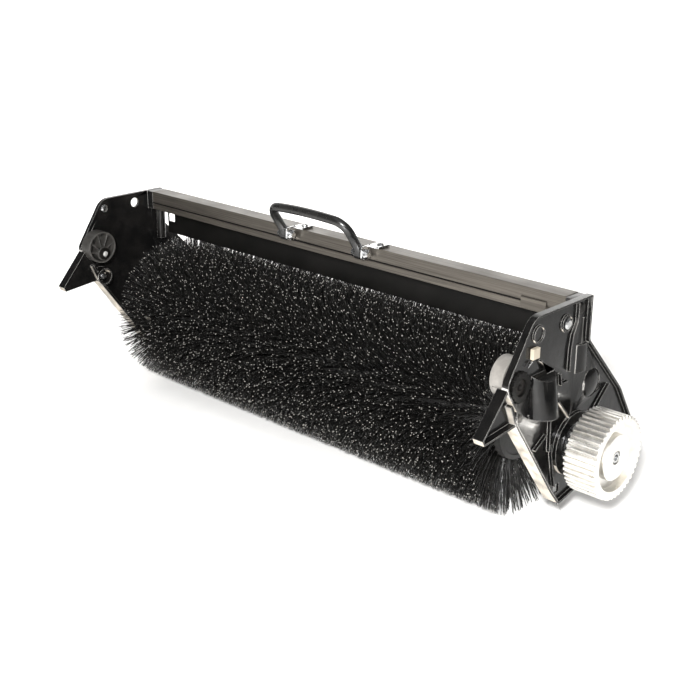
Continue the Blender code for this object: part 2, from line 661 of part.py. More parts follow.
def turned_solid(profile, sides=SIDES):
    """A solid whose profile of (x, radius) points starts and ends on the X axis."""
    shape = bmesh.new()
    first = shape.verts.new((profile[0][0], 0, 0))
    last = shape.verts.new((profile[-1][0], 0, 0))
    inner = profile[1:-1]
    loops = []
    for k in range(sides):
        turn = 2 * math.pi * k / sides
        loops.append([shape.verts.new((x, r * math.cos(turn), r * math.sin(turn))) for x, r in inner])
    for k in range(sides):
        here, after = loops[k], loops[(k + 1) % sides]
        shape.faces.new((first, after[0], here[0]))
        shape.faces.new((last, here[-1], after[-1]))
        for i in range(len(inner) - 1):
            shape.faces.new((here[i], after[i], after[i + 1], here[i + 1]))
    return shape


def bar_screw(name, side, floor):
    """The screw through a plate into the plug in the bar's end."""
    length = BAR_END_INSET + 0.008 - floor
    return place(name, screw(side, *BAR_SCREW, floor - CLEAR, length, LOW_HEAD_HEIGHT), STEEL)


def nut(name, x0, x1, y, z):
    """A hexagon nut along X."""
    made = place(name, rod(x0, x1, SCREW_HEAD_RADIUS, sides=6), STEEL, (0, y, z))
    cut(made, rod(x0 - 0.01, x1 + 0.01, SCREW_RADIUS + CLEAR, sides=16))
    return made


def bar_plug(name, side):
    """The threaded block pressed into the end of the hollow bar."""
    wall = BAR_WALL + CLEAR
    length = PLUG_LENGTH
    x0 = side * (BAR_HALF - 0.0005)
    plug = place(name, block(min(x0, x0 - side * length), max(x0, x0 - side * length),
                             -BAR_FRONT + GROOVE_DEPTH + wall, BAR_BACK - wall, BAR_BOTTOM + wall,
                             AXIS_TO_TOP - wall), ALUMINIUM)
    cut(plug, rod(x0 + side * 0.01, x0 - side * (length + 0.01), SCREW_RADIUS + CLEAR, *BAR_SCREW, 16))
    return plug


# ---- knobs --------------------------------------------------------------------------------
def knob_lobe():
    """The centre of the lobe's circle, as (y, z) from the pivot."""
    lean = math.radians(KNOB_LEAN)
    return Vector((-KNOB_LOBE_RISE * math.sin(lean), KNOB_LOBE_RISE * math.cos(lean)))


def knob_outline(shrink):
    """The hull of the lobe's circle and the hub's circle, about the pivot."""
    lobe = knob_lobe()
    big, small = KNOB_LOBE_RADIUS - shrink, KNOB_HUB_RADIUS - shrink
    spread = math.pi - math.acos(min((big - small) / lobe.length, 1.0))
    up = math.atan2(lobe.y, lobe.x)
    return (circle(lobe.x, lobe.y, big, 28, up - spread, 2 * spread, False)
            + circle(0, 0, small, 14, up + spread, 2 * (math.pi - spread), False))


def knob(name, side, web_in):
    near = web_in + CLEAR
    inside = side * (HALF_SPAN - KNOB_FACE)
    outside = side * (HALF_SPAN - near)
    at = (inside, KNOB_Y, KNOB_Z)
    body = place(name, prism(knob_outline(0), 0, outside - inside), GREY_PLASTIC, at)
    floor = outside - inside - side * 0.0022
    cut(body, prism(knob_outline(KNOB_WALL), -side * 0.01, floor))
    join(body, rod(0, floor + side * 0.0005, KNOB_TUBE_RADIUS))
    lean = math.radians(KNOB_LEAN)
    for k in range(5):
        angle = math.pi / 2 + lean + math.radians(34) * (k - 2)
        reach = KNOB_LOBE_RADIUS + KNOB_LOBE_RISE * math.cos(math.radians(34) * (k - 2)) - KNOB_WALL
        end = (math.cos(angle) * (reach + 0.0002), math.sin(angle) * (reach + 0.0002))
        start = (math.cos(angle) * (RIVET_RADIUS + 0.0014), math.sin(angle) * (RIVET_RADIUS + 0.0014))
        join(body, prism(band([start, end], 0.0013), side * 0.0028, floor + side * 0.0006))
    cut(body, rod(-side * 0.02, side * 0.03, RIVET_RADIUS + CLEAR))
    return body


def knob_rivet(name, side, floor):
    """The rivet that a knob turns on: a domed head inside the knob and a hollow, flared tail outside."""
    x0 = side * (HALF_SPAN - floor + CLEAR)
    x1 = side * (HALF_SPAN - KNOB_FACE - CLEAR)
    flange = 0.0008
    profile = [(x1 - side * RIVET_DOME, 0), (x1 - side * RIVET_DOME * 0.8, RIVET_BORE),
               (x1 - side * flange, RIVET_FLANGE), (x1, RIVET_FLANGE), (x1, RIVET_RADIUS),
               (x0, RIVET_RADIUS), (x0, RIVET_FLANGE),
               (x0 + side * flange, RIVET_FLANGE), (x0 + side * flange, RIVET_BORE),
               (x0 - side * RIVET_TAIL, RIVET_BORE), (x0 - side * RIVET_TAIL, 0)]
    return place(name, turned_solid(profile, 24), STEEL, (0, KNOB_Y, KNOB_Z))


def ratchet_wheel():
    """The toothed wheel behind the right knob, outside the plate, turning with it."""
    outline = []
    for k in range(WHEEL_TEETH):
        turn = 2 * math.pi * k / WHEEL_TEETH
        nearly = turn + 2 * math.pi * 0.8 / WHEEL_TEETH
        outline.append((WHEEL_RADIUS * math.cos(turn), WHEEL_RADIUS * math.sin(turn)))
        root = WHEEL_RADIUS - 0.0016
        outline.append((root * math.cos(nearly), root * math.sin(nearly)))
    x0, x1 = RIGHT_FLOOR - CLEAR, 0.0010
    wheel = place("ratchet_wheel", prism(outline, 0, x0 - x1), SHEET_BLACK,
                  (HALF_SPAN - x0, KNOB_Y, KNOB_Z))
    cut(wheel, rod(-0.01, 0.01, RIVET_FLANGE + 0.0006))
    return wheel


def lock_pin(name, side, floor):
    """The domed pin in the cup below a knob."""
    web_in = floor + PLATE_WEB
    x0 = side * (HALF_SPAN - floor + CLEAR)
    x1 = side * (HALF_SPAN - web_in - CLEAR)
    head = side * (HALF_SPAN - PLATE_DEPTH + 0.001)
    profile = [(x0 + side * 0.0008, 0.0), (x0 + side * 0.0008, PIN_RADIUS * 0.8), (x0, PIN_RADIUS * 0.8),
               (x0, PIN_RADIUS / 2), (x1, PIN_RADIUS / 2), (x1, PIN_RADIUS),
               (head + side * 0.0018, PIN_RADIUS), (head + side * 0.0006, PIN_RADIUS * 0.75), (head, 0.0)]
    return place(name, turned_solid(profile, 20), STEEL, (0, CUP_Y, CUP_Z))


def detent_block():
    """The pale block that carries the detent spring above the ratchet wheel."""
    near = RIGHT_FLOOR - CLEAR
    return place("detent_block", block(HALF_SPAN - near, HALF_SPAN, 0, DETENT_SIDE, 0, DETENT_SIDE),
                 PALE_PLASTIC, (0, KNOB_Y + DETENT_BACK, KNOB_Z + DETENT_RISE))


def detent_spring():
    """The bent leaf between the block and the ratchet wheel."""
    route = [(0.0005, -0.0006), (-0.0025, -0.0022), (-0.0045, -0.0040)]
    return place("detent_spring", prism(band(route, 0.0007), HALF_SPAN - RIGHT_FLOOR + 0.0008,
                                        HALF_SPAN - 0.0008), STEEL,
                 (0, KNOB_Y + DETENT_BACK, KNOB_Z + DETENT_RISE - 0.0005))


# ---- carry handle -------------------------------------------------------------------------
def handle_route():
    """The rod's centre line as (x, out) points, from one leg's eye to the other's."""
    half = HANDLE_REACH / 2
    corners = [(-half, 0.0), (-half, HANDLE_LEG), (half, HANDLE_LEG), (half, 0.0)]
    first = corner_arc(corners[0], corners[1], corners[2], HANDLE_BEND, 6)
    last = corner_arc(corners[1], corners[2], corners[3], HANDLE_BEND, 6)
    run = half - HANDLE_BEND
    arch = [(-run + 2 * run * k / 10, HANDLE_LEG) for k in range(1, 10)]
    bowed = []
    for x, out in [corners[0]] + first + arch + last + [corners[3]]:
        share = max(0.0, 1 - (x / half) ** 2)
        bowed.append((x, out + HANDLE_ARCH * share * (out / HANDLE_LEG)))
    return bowed


def swept(route, radius, sides=14):
    """A round rod along a route in the X-Z plane."""
    shape = bmesh.new()
    loops = []
    for i, (x, z) in enumerate(route):
        before, after = Vector(route[max(i - 1, 0)]), Vector(route[min(i + 1, len(route) - 1)])
        along = (after - before).normalized()
        across = Vector((along.y, 0, -along.x))
        loop = []
        for k in range(sides):
            turn = 2 * math.pi * k / sides
            lift = Vector((0, radius * math.sin(turn), 0))
            point = Vector((x, 0, z)) + across * radius * math.cos(turn) + lift
            loop.append(shape.verts.new(point))
        loops.append(loop)
    for here, after in zip(loops, loops[1:]):
        for k in range(sides):
            j = (k + 1) % sides
            shape.faces.new((here[k], here[j], after[j], after[k]))
    shape.faces.new(list(reversed(loops[0])))
    shape.faces.new(loops[-1])
    return shape


def leaned(shape):
    """Turn an upright handle shape forward to its rest position."""
    bmesh.ops.rotate(shape, verts=shape.verts, matrix=Matrix.Rotation(math.radians(HANDLE_LEAN), 3, "X"))
    return shape


def carry_handle():
    handle = place("carry_handle", leaned(swept(handle_route(), HANDLE_ROD)), ROD_BLACK,
                   (0, HANDLE_PIVOT_Y, HANDLE_PIVOT_Z))
    half = HANDLE_REACH / 2
    for leg in (-half, half):
        join(handle, rod(leg - HANDLE_EYE_WIDTH / 2, leg + HANDLE_EYE_WIDTH / 2, HANDLE_EYE, sides=24))
    for leg in (-half, half):
        cut(handle, rod(leg - 0.01, leg + 0.01, SCREW_RADIUS + CLEAR, sides=16))
    return handle


def bracket_screw_x(leg):
    return leg * HANDLE_REACH / 2 + EAR_X + BRACKET_SHEET + BRACKET_FLANGE / 2


def handle_bracket(name, leg):
    """An angle bracket: an ear beside the handle's eye and a flange on top of the bar."""
    x0 = leg * HANDLE_REACH / 2 + EAR_X
    x1 = x0 + BRACKET_SHEET
    top = AXIS_TO_TOP + CLEAR
    front = HANDLE_PIVOT_Y - HANDLE_EYE
    ear = rounded([(-BAR_FRONT - CLEAR, HANDLE_PIVOT_Z - HANDLE_EYE, 0.001),
                   (-BAR_FRONT - CLEAR, top + BRACKET_SHEET, 0.0), (front, top + BRACKET_SHEET, 0.003),
                   (front, HANDLE_PIVOT_Z - HANDLE_EYE, 0.0045)])
    bracket = place(name, prism(ear, x0, x1), STEEL)
    join(bracket, block(x0 + 0.0001, x1 + BRACKET_FLANGE, -BAR_FRONT - 0.002, -BAR_FRONT + 0.0125,
                        top, top + BRACKET_SHEET * 0.98))
    cut(bracket, rod(x0 - 0.01, x1 + 0.001, SCREW_RADIUS + CLEAR, HANDLE_PIVOT_Y, HANDLE_PIVOT_Z, 16))
    cut(bracket, along_z(bracket_screw_x(leg), BRACKET_SCREW_Y, TOP_SCREW_RADIUS + CLEAR,
                         top - 0.01, top + 0.01))
    return bracket


def bracket_screw(name, leg):
    """The low screw that holds a bracket's flange down on the bar."""
    top = AXIS_TO_TOP + BRACKET_SHEET + 2 * CLEAR
    profile = [(-0.0065, 0.0), (-0.0065, TOP_SCREW_RADIUS), (0.0, TOP_SCREW_RADIUS),
               (0.0, 2 * TOP_SCREW_RADIUS), (0.0010, 1.9 * TOP_SCREW_RADIUS), (0.0015, TOP_SCREW_RADIUS),
               (0.0015, 0.0)]
    piece = turned_solid(profile, 12)
    bmesh.ops.rotate(piece, verts=piece.verts, matrix=Matrix.Rotation(-math.pi / 2, 3, "Y"))
    return place(name, piece, STEEL, (bracket_screw_x(leg), BRACKET_SCREW_Y, top))


def handle_screw(name, leg):
    """The bright screw a handle leg turns on."""
    x = leg * HANDLE_REACH / 2 + EAR_X + BRACKET_SHEET + CLEAR
    length = EAR_X + BRACKET_SHEET + HANDLE_EYE_WIDTH / 2 + 0.006
    profile = [(x - length, 0.0), (x - length, SCREW_RADIUS), (x, SCREW_RADIUS), (x, SCREW_HEAD_RADIUS),
               (x + 0.0018, SCREW_HEAD_RADIUS), (x + 0.0034, SCREW_HEAD_RADIUS * 0.55), (x + 0.0034, 0.0)]
    return place(name, turned_solid(profile, 16), STEEL, (0, HANDLE_PIVOT_Y, HANDLE_PIVOT_Z))


def handle_nut(name, leg):
    x = leg * HANDLE_REACH / 2 - HANDLE_EYE_WIDTH / 2 - CLEAR
    return nut(name, x - NUT_HEIGHT, x, HANDLE_PIVOT_Y, HANDLE_PIVOT_Z)


# ---- brush, shafts, bearings --------------------------------------------------------------
def brush_parts():
    place("brush_core", ring(BRUSH_X0, BRUSH_X1, CORE_RADIUS - CORE_WALL, CORE_RADIUS, 36), CORE_PLASTIC)
    flat = math.cos(math.pi / BRUSH_FLATS)
    place("brush_bristles", ring(BRUSH_X0, BRUSH_X1, (CORE_RADIUS + CLEAR) / flat,
                                 BRUSH_RADIUS / flat, BRUSH_FLATS, 0.5), NYLON)
    outer = CORE_RADIUS - CORE_WALL - CLEAR * 1.5
    for name, side, end in (("left_hub", -1, BRUSH_X0), ("right_hub", 1, BRUSH_X1)):
        x0 = end - side * HUB_INSET
        place(name, ring(x0, x0 - side * HUB_LENGTH, SHAFT_RADIUS + CLEAR, outer), CORE_PLASTIC)


def shaft_parts():
    inner_end = HALF_SPAN - SHAFT_REACH
    chamfer = 0.001
    x0, x1 = -inner_end, -(HALF_SPAN - SHOULDER)
    place("left_stub_shaft", turned_solid([(x0, 0), (x0, SHAFT_RADIUS), (x1 + chamfer, SHAFT_RADIUS),
                                           (x1, SHAFT_RADIUS - chamfer), (x1, 0)]), STEEL)
    x1 = PULLEY_OUT - PULLEY_HUB_DROP - BOLT_HEAD_HEIGHT - PULLEY_WEB - CLEAR * 2
    shaft = place("drive_shaft", turned_solid([(inner_end, 0), (inner_end, SHAFT_RADIUS),
                                               (x1 - chamfer, SHAFT_RADIUS), (x1, SHAFT_RADIUS - chamfer),
                                               (x1, 0)]), STEEL)
    cut(shaft, rod(x1 - 0.016, x1 + 0.01, BOLT_RADIUS + CLEAR, sides=20))
    cut(shaft, block(x1 - KEY_LENGTH - 2 * CLEAR, x1 + 0.01, -KEY_WIDTH / 2 - CLEAR, KEY_WIDTH / 2 + CLEAR,
                     SHAFT_RADIUS - KEY_HEIGHT / 2 - CLEAR, SHAFT_RADIUS + 0.01))
    place("pulley_key", block(x1 - KEY_LENGTH, x1 - CLEAR, -KEY_WIDTH / 2, KEY_WIDTH / 2,
                              SHAFT_RADIUS - KEY_HEIGHT / 2, SHAFT_RADIUS + KEY_HEIGHT / 2), STEEL)
    return x1


def pulley_profile_circle():
    """The toothed rim's outline: flat-topped teeth with sloping flanks."""
    outline = []
    tip = PITCH_RADIUS - 0.0004
    root = tip - TOOTH_DEPTH
    step = 2 * math.pi / PULLEY_TEETH
    for k in range(PULLEY_TEETH):
        turn = k * step
        for share, radius in ((0.05, tip), (0.50, tip), (0.62, root), (0.93, root)):
            outline.append((radius * math.cos(turn + share * step), radius * math.sin(turn + share * step)))
    return outline


def drive_pulley(shaft_end):
    pulley = place("drive_pulley", prism(pulley_profile_circle(), PULLEY_IN, PULLEY_OUT), ALUMINIUM)
    rim = PITCH_RADIUS - TOOTH_DEPTH - PULLEY_RIM_WALL
    cut(pulley, ring(PULLEY_OUT - PULLEY_DISH, PULLEY_OUT + 0.01, PULLEY_HUB_RADIUS, rim, 48))
    cut(pulley, rod(PULLEY_OUT - PULLEY_HUB_DROP, PULLEY_OUT + 0.01, PULLEY_HUB_RADIUS + 0.002, sides=48))
    cut(pulley, ring(PULLEY_IN - 0.01, PULLEY_IN + 0.006, SHAFT_RADIUS + 0.007, rim, 48))
    cut(pulley, rod(PULLEY_IN - 0.01, shaft_end + CLEAR, SHAFT_RADIUS + CLEAR))
    cut(pulley, block(PULLEY_IN - 0.01, shaft_end + CLEAR * 0.5,
                      -KEY_WIDTH / 2 - CLEAR, KEY_WIDTH / 2 + CLEAR,
                      0, SHAFT_RADIUS + KEY_HEIGHT / 2 + CLEAR))
    cut(pulley, rod(PULLEY_IN, PULLEY_OUT + 0.01, BOLT_RADIUS + CLEAR, sides=20))
    seat = PULLEY_OUT - PULLEY_HUB_DROP - BOLT_HEAD_HEIGHT - 0.0008
    cut(pulley, rod(seat, PULLEY_OUT + 0.01, BOLT_HEAD_RADIUS + 0.0006, sides=24))
    x = seat + CLEAR
    profile = [(x - 0.018, 0.0), (x - 0.018, BOLT_RADIUS), (x, BOLT_RADIUS), (x, BOLT_HEAD_RADIUS),
               (x + BOLT_HEAD_HEIGHT - 0.0006, BOLT_HEAD_RADIUS),
               (x + BOLT_HEAD_HEIGHT, BOLT_HEAD_RADIUS - 0.0006),
               (x + BOLT_HEAD_HEIGHT, 0.0)]
    bolt = place("pulley_bolt", turned_solid(profile, 24), STEEL)
    cut(bolt, rod(x + BOLT_HEAD_HEIGHT - 0.0035, x + BOLT_HEAD_HEIGHT + 0.01, 0.0029, sides=6))


def bearing(label, side):
    x0 = sided(side, SHOULDER + CLEAR)
    x1 = sided(side, SHOULDER + CLEAR + BEARING_WIDTH)
    place(label + "_bearing_outer", ring(x0, x1, BEARING_RADIUS - RACE_WALL, BEARING_RADIUS), STEEL)
    place(label + "_bearing_inner", ring(x0, x1, SHAFT_RADIUS + CLEAR, SHAFT_RADIUS + RACE_WALL), STEEL)
    middle = (x0 + x1) / 2
    cage = place(label + "_ball_cage", ring(middle - CAGE_WIDTH / 2, middle + CAGE_WIDTH / 2,
                                            BALL_TRACK - CAGE_WALL / 2, BALL_TRACK + CAGE_WALL / 2), STEEL)
    for k in range(BALL_COUNT):
        turn = 2 * math.pi * (k + 0.5) / BALL_COUNT
        ball = bmesh.new()
        bmesh.ops.create_icosphere(ball, subdivisions=1, radius=BALL_RADIUS)
        join(cage, moved(ball, (middle, BALL_TRACK * math.cos(turn), BALL_TRACK * math.sin(turn))))
    x2 = x1 - side * CLEAR
    place(label + "_retaining_ring", ring(x2, x2 - side * RING_WIDTH, BEARING_RADIUS - RING_RADIAL,
                                          BEARING_RADIUS), STEEL)


def spacer_and_cap():
    place("shaft_spacer", ring(HALF_SPAN - SHOULDER, PULLEY_IN - CLEAR, SHAFT_RADIUS + CLEAR,
                               SHAFT_RADIUS + RACE_WALL), STEEL)
    hole = SEAT_RADIUS - RACE_WALL - CLEAR
    x0 = -HALF_SPAN + 0.0002
    profile = [(x0, 0.0), (x0, hole - CLEAR), (x0 + 0.0012, hole - CLEAR), (x0 + 0.0012, 0.0)]
    place("left_bearing_cap", turned_solid(profile), GREY_PLASTIC)


def single_screws():
    """The screw in the right plate's recess and the one at the left plate's front, with their nuts."""
    seat = RIGHT_FLOOR - 0.0004 - CLEAR
    place("right_plate_screw", screw(1, RIGHT_SCREW_Y, RIGHT_SCREW_Z, seat, 0.010, SCREW_HEAD_HEIGHT), STEEL)
    x = sided(1, RIGHT_FLOOR + PLATE_WEB + CLEAR)
    nut("right_plate_nut", x - NUT_HEIGHT, x, RIGHT_SCREW_Y, RIGHT_SCREW_Z)
    x = sided(-1, LEFT_FLOOR + PLATE_WEB + CLEAR)
    tip = sided(-1, LEFT_FLOOR / 2)
    profile = [(tip, 0.0), (tip, SCREW_RADIUS), (x, SCREW_RADIUS), (x, SCREW_HEAD_RADIUS * 0.9),
               (x + 0.0013, SCREW_HEAD_RADIUS * 0.85), (x + 0.0020, SCREW_HEAD_RADIUS * 0.5),
               (x + 0.0020, 0.0)]
    place("left_plate_screw", moved(turned_solid(profile, 12), (0, FRONT_SCREW_Y, FRONT_SCREW_Z)), STEEL)


# ---- build --------------------------------------------------------------------------------
def build():
    clear_scene()
    left_end_plate()
    right_end_plate()
    cross_bar()
    groove_strip()
    strip_clip()
    rear_flap()
    flap_rivets()
    for label, side, floor in (("left", -1, LEFT_FLOOR), ("right", 1, RIGHT_FLOOR)):
        bar_screw(label + "_bar_screw", side, floor)
        bar_plug(label + "_bar_plug", side)
        knob(label + "_knob", side, floor + PLATE_WEB)
        knob_rivet(label + "_knob_rivet", side, floor)
        lock_pin(label + "_lock_pin", side, floor)
        bearing(label, side)
        handle_bracket(label + "_handle_bracket", side)
        bracket_screw(label + "_bracket_screw", side)
        handle_screw(label + "_handle_screw", side)
        handle_nut(label + "_handle_nut", side)
    ratchet_wheel()
    detent_block()
    detent_spring()
    carry_handle()
    brush_parts()
    drive_pulley(shaft_parts())
    spacer_and_cap()
    single_screws()


build()
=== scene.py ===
# %% [markdown]
# # A sweeping-brush cartridge
#
# A roller brush turns between two black moulded end plates. A cross bar joins the plates, a
# toothed pulley drives the brush from the right, and a bent rod folds up as a carry handle.
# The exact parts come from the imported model. This notebook gives them their edges, their
# finishes and the thing no solid can show: more than twenty thousand nylon bristles.

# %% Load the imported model
import json
import math

import bmesh
import bpy
import numpy as np
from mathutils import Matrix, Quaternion, Vector


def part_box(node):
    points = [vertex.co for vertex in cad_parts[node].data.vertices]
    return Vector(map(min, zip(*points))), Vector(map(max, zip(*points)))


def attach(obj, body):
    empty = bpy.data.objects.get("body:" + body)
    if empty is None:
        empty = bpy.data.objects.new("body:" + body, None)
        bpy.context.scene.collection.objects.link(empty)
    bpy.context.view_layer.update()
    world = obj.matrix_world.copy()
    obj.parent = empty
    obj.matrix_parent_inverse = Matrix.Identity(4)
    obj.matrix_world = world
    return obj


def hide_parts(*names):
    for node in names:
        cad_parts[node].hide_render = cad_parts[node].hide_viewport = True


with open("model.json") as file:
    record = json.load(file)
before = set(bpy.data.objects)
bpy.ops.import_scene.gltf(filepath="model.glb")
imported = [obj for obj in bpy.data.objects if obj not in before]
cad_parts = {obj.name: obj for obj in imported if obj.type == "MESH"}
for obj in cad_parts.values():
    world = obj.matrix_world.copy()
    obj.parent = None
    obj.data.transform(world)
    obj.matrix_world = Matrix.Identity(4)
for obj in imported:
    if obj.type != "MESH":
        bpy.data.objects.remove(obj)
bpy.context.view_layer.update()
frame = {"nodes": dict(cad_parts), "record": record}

BODY_OF = {node: body for body, nodes in frame["record"]["behaviour"]["bodies"].items()
           for node in nodes}
MM = 0.001

# %% [markdown]
# Everything on the cartridge is placed from the brush axis, as on a drawing: x = 0 is midway
# between the plates, and the axis runs along X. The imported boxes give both, so no position
# has to be written twice.

# %% Find the brush axis
bar_low, bar_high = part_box("cross_bar")
bristle_low, bristle_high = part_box("brush_bristles")
shaft_low, shaft_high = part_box("drive_shaft")
AXIS = Vector(((bar_low.x + bar_high.x) / 2,
               (shaft_low.y + shaft_high.y) / 2,
               (shaft_low.z + shaft_high.z) / 2))
print("axis", [round(v, 4) for v in AXIS])

# %% [markdown]
# A few small tools do the material work. One turns the hex colours a painter would read off a
# chart into the linear values that light adds up in. One adds a node with its settings and
# links, and one makes links alone, such as those to the shader. One starts a material from its
# shader, which is the same for every finish here.

# %% Material tools
def linear(hex_colour):
    """An sRGB hex colour as linear red, green, blue and alpha."""
    channels = [int(hex_colour[i:i + 2], 16) / 255 for i in (1, 3, 5)]
    return [c / 12.92 if c <= 0.04045 else ((c + 0.055) / 1.055) ** 2.4 for c in channels] + [1.0]


def connect(material, node, links):
    """Link a node's inputs, by name or number, to (other node, its output)."""
    for name, (other, output) in links.items():
        material.node_tree.links.new(other.outputs[output], node.inputs[name])


def add_node(material, kind, settings=None, values=None, links=None, stops=None):
    """Add one node: its own settings, its inputs' values and links, and a colour ramp's stops."""
    node = material.node_tree.nodes.new(kind)
    for name, value in (settings or {}).items():
        setattr(node, name, value)
    for name, value in (values or {}).items():
        node.inputs[name].default_value = value
    connect(material, node, links or {})
    for number, (place, colour) in enumerate(stops or []):
        node.color_ramp.elements[number].position = place
        node.color_ramp.elements[number].color = colour
    return node


def new_material(name, **uniform):
    """A material with its Principled shader, whose uniform values go straight on its sockets."""
    material = bpy.data.materials.new(name)
    material.use_nodes = True
    shader = material.node_tree.nodes["Principled BSDF"]
    for socket, value in uniform.items():
        shader.inputs[socket.replace("_", " ")].default_value = value
    return material, shader


def grey(value):
    """A plain number as the colour that a ramp stop takes."""
    return (value, value, value, 1.0)


print("black is", linear("#000000")[0], "and white is", linear("#FFFFFF")[0])

# %% [markdown]
# The end plates are injection-moulded glass-filled polyamide from a polished tool. Up close such
# a surface is a hard gloss over a slow waviness, where the thick ribs sank as they cooled, with
# handling dust that dulls it in patches. So the roughness comes from a cloudy noise about 12 mm
# wide, and the waviness is a faint bump of about 9 mm.
#
# Rims and ribs carry a painted highlight: their edges are painted pale grey where rounded edges
# would catch the light. The bevel node gives a normal that is rounded near an edge; where it
# disagrees with the true face, there is an edge, and the tone turns towards pale grey over about
# half a millimetre. The long flanges that look down and forward, in front of the axis, carry a
# painted reflection of the lit floor: a cloudy pale beige film, which also makes them matt.

# %% Gloss black polyamide
# Painted reflection: faces turned this way on the lower front flanges are painted pale beige.
SHEEN_WAY = (0.0, -0.76, -0.65)     # outward from the plates' lower front flanges


def make_gloss_black():
    """Glossy black polyamide with painted edge highlights, and a painted reflection on the lower
    front flanges.
    """
    material, shader = new_material("moulded_gloss_polyamide", IOR=1.50, Specular_IOR_Level=0.25)
    place = add_node(material, "ShaderNodeTexCoord")
    cloud = add_node(material, "ShaderNodeTexNoise", values={"Scale": 1 / (12 * MM), "Detail": 5.0},
                     links={"Vector": (place, "Object")})
    tone = add_node(material, "ShaderNodeValToRGB", links={"Fac": (cloud, "Fac")},
                    stops=[(0.35, linear("#090909")), (0.75, linear("#141312"))])
    rough = add_node(material, "ShaderNodeValToRGB", links={"Fac": (cloud, "Fac")},
                     stops=[(0.30, grey(0.12)), (0.75, grey(0.27))])
    wave = add_node(material, "ShaderNodeTexNoise", values={"Scale": 1 / (9 * MM), "Detail": 2.0},
                    links={"Vector": (place, "Object")})
    bump = add_node(material, "ShaderNodeBump", values={"Strength": 0.35, "Distance": 0.5 * MM},
                    links={"Height": (wave, "Fac")})
    # Painted highlight: an edge mask from the bevel normal, which paints rims and ribs pale grey.
    rounded = add_node(material, "ShaderNodeBevel", {"samples": 6}, {"Radius": 0.55 * MM})
    face = add_node(material, "ShaderNodeNewGeometry")
    agree = add_node(material, "ShaderNodeVectorMath", {"operation": "DOT_PRODUCT"},
                     links={0: (rounded, "Normal"), 1: (face, "True Normal")})
    edge = add_node(material, "ShaderNodeValToRGB", links={"Fac": (agree, "Value")},
                    stops=[(0.80, grey(0.85)), (0.985, grey(0.0))])
    # Painted reflection: faces that look down and forward, in front of the axis, are painted pale
    # beige in clouds, and made matt.
    facing = add_node(material, "ShaderNodeVectorMath", {"operation": "DOT_PRODUCT"},
                      {1: SHEEN_WAY}, {0: (face, "True Normal")})
    sheen_facing = add_node(material, "ShaderNodeValToRGB", links={"Fac": (facing, "Value")},
                    stops=[(0.93, grey(0.0)), (0.985, grey(1.0))])
    sheen_cloud = add_node(material, "ShaderNodeValToRGB", links={"Fac": (cloud, "Fac")},
                       stops=[(0.30, grey(0.35)), (0.60, grey(0.95))])
    where = add_node(material, "ShaderNodeSeparateXYZ", links={"Vector": (face, "Position")})
    front = add_node(material, "ShaderNodeMath", {"operation": "LESS_THAN"},
                     {1: AXIS.y - 10 * MM}, {0: (where, "Y")})
    sheen_cover = add_node(material, "ShaderNodeMath", {"operation": "MULTIPLY"},
                     links={0: (sheen_facing, "Color"), 1: (sheen_cloud, "Color")})
    painted_sheen = add_node(material, "ShaderNodeMath", {"operation": "MULTIPLY"},
                    links={0: (sheen_cover, "Value"), 1: (front, "Value")})
    # Painted reflection: the pale beige that the flanges are painted with.
    sheened = add_node(material, "ShaderNodeMix", {"data_type": "RGBA"}, {7: linear("#C9C0B2")},
                     {0: (painted_sheen, "Value"), 6: (tone, "Color")})
    # Painted highlight: pale grey mixed in along the edges.
    worn = add_node(material, "ShaderNodeMix", {"data_type": "RGBA"}, {7: linear("#D2CFCA")},
                    {0: (edge, "Color"), 6: (sheened, 2)})
    matt = add_node(material, "ShaderNodeMix", {"data_type": "FLOAT"}, {3: 0.75},
                    {0: (painted_sheen, "Value"), 2: (rough, "Color")})
    connect(material, shader, {"Base Color": (worn, 2), "Roughness": (matt, 0),
                               "Normal": (bump, "Normal")})
    return material


GLOSS_BLACK = make_gloss_black()
print(GLOSS_BLACK.name)

# %% [markdown]
# The cross bar is an aluminium extrusion, anodised black and worn thin. Anodising keeps the
# metal's grain, so the eye sees fine lines drawn along the bar by the die, in a warm grey-black
# with a satin sheen. The lines are a noise stretched along the bar: about 0.9 mm wide and many
# centimetres long. Real die lines are finer; they are drawn this coarse so that they show.

# %% Black anodised aluminium
def make_anodised():
    """Worn black anodising over drawn aluminium, with the die's lines along X."""
    material, shader = new_material("black_anodised_aluminium", Metallic=0.75)
    place = add_node(material, "ShaderNodeTexCoord")
    squeeze = add_node(material, "ShaderNodeMapping", values={"Scale": (0.012, 1.0, 1.0)},
                       links={"Vector": (place, "Object")})
    lines = add_node(material, "ShaderNodeTexNoise",
                     values={"Scale": 1 / (0.9 * MM), "Detail": 3.0},
                     links={"Vector": (squeeze, "Vector")})
    patch = add_node(material, "ShaderNodeTexNoise", values={"Scale": 1 / (35 * MM), "Detail": 4.0},
                     links={"Vector": (place, "Object")})
    tone = add_node(material, "ShaderNodeValToRGB", links={"Fac": (lines, "Fac")},
                    stops=[(0.30, linear("#46423D")), (0.70, linear("#625D56"))])
    rough = add_node(material, "ShaderNodeValToRGB", links={"Fac": (patch, "Fac")},
                     stops=[(0.30, grey(0.34)), (0.72, grey(0.50))])
    bump = add_node(material, "ShaderNodeBump", values={"Strength": 0.25, "Distance": 0.08 * MM},
                    links={"Height": (lines, "Fac")})
    connect(material, shader, {"Base Color": (tone, "Color"), "Roughness": (rough, "Color"),
                               "Normal": (bump, "Normal")})
    return material


ANODISED = make_anodised()
print(ANODISED.name)

# %% [markdown]
# The flap, the strip in the bar's groove and the toothed wheel are steel with a baked powder coat.
# Powder melts into a skin with the texture of orange peel, about 1.5 mm from hill to hill, and
# its gloss is soft. Places that rub show a little greyer, which the cloudy tone stands for. The
# handle's rod has the same coat, put on thicker and glossier.

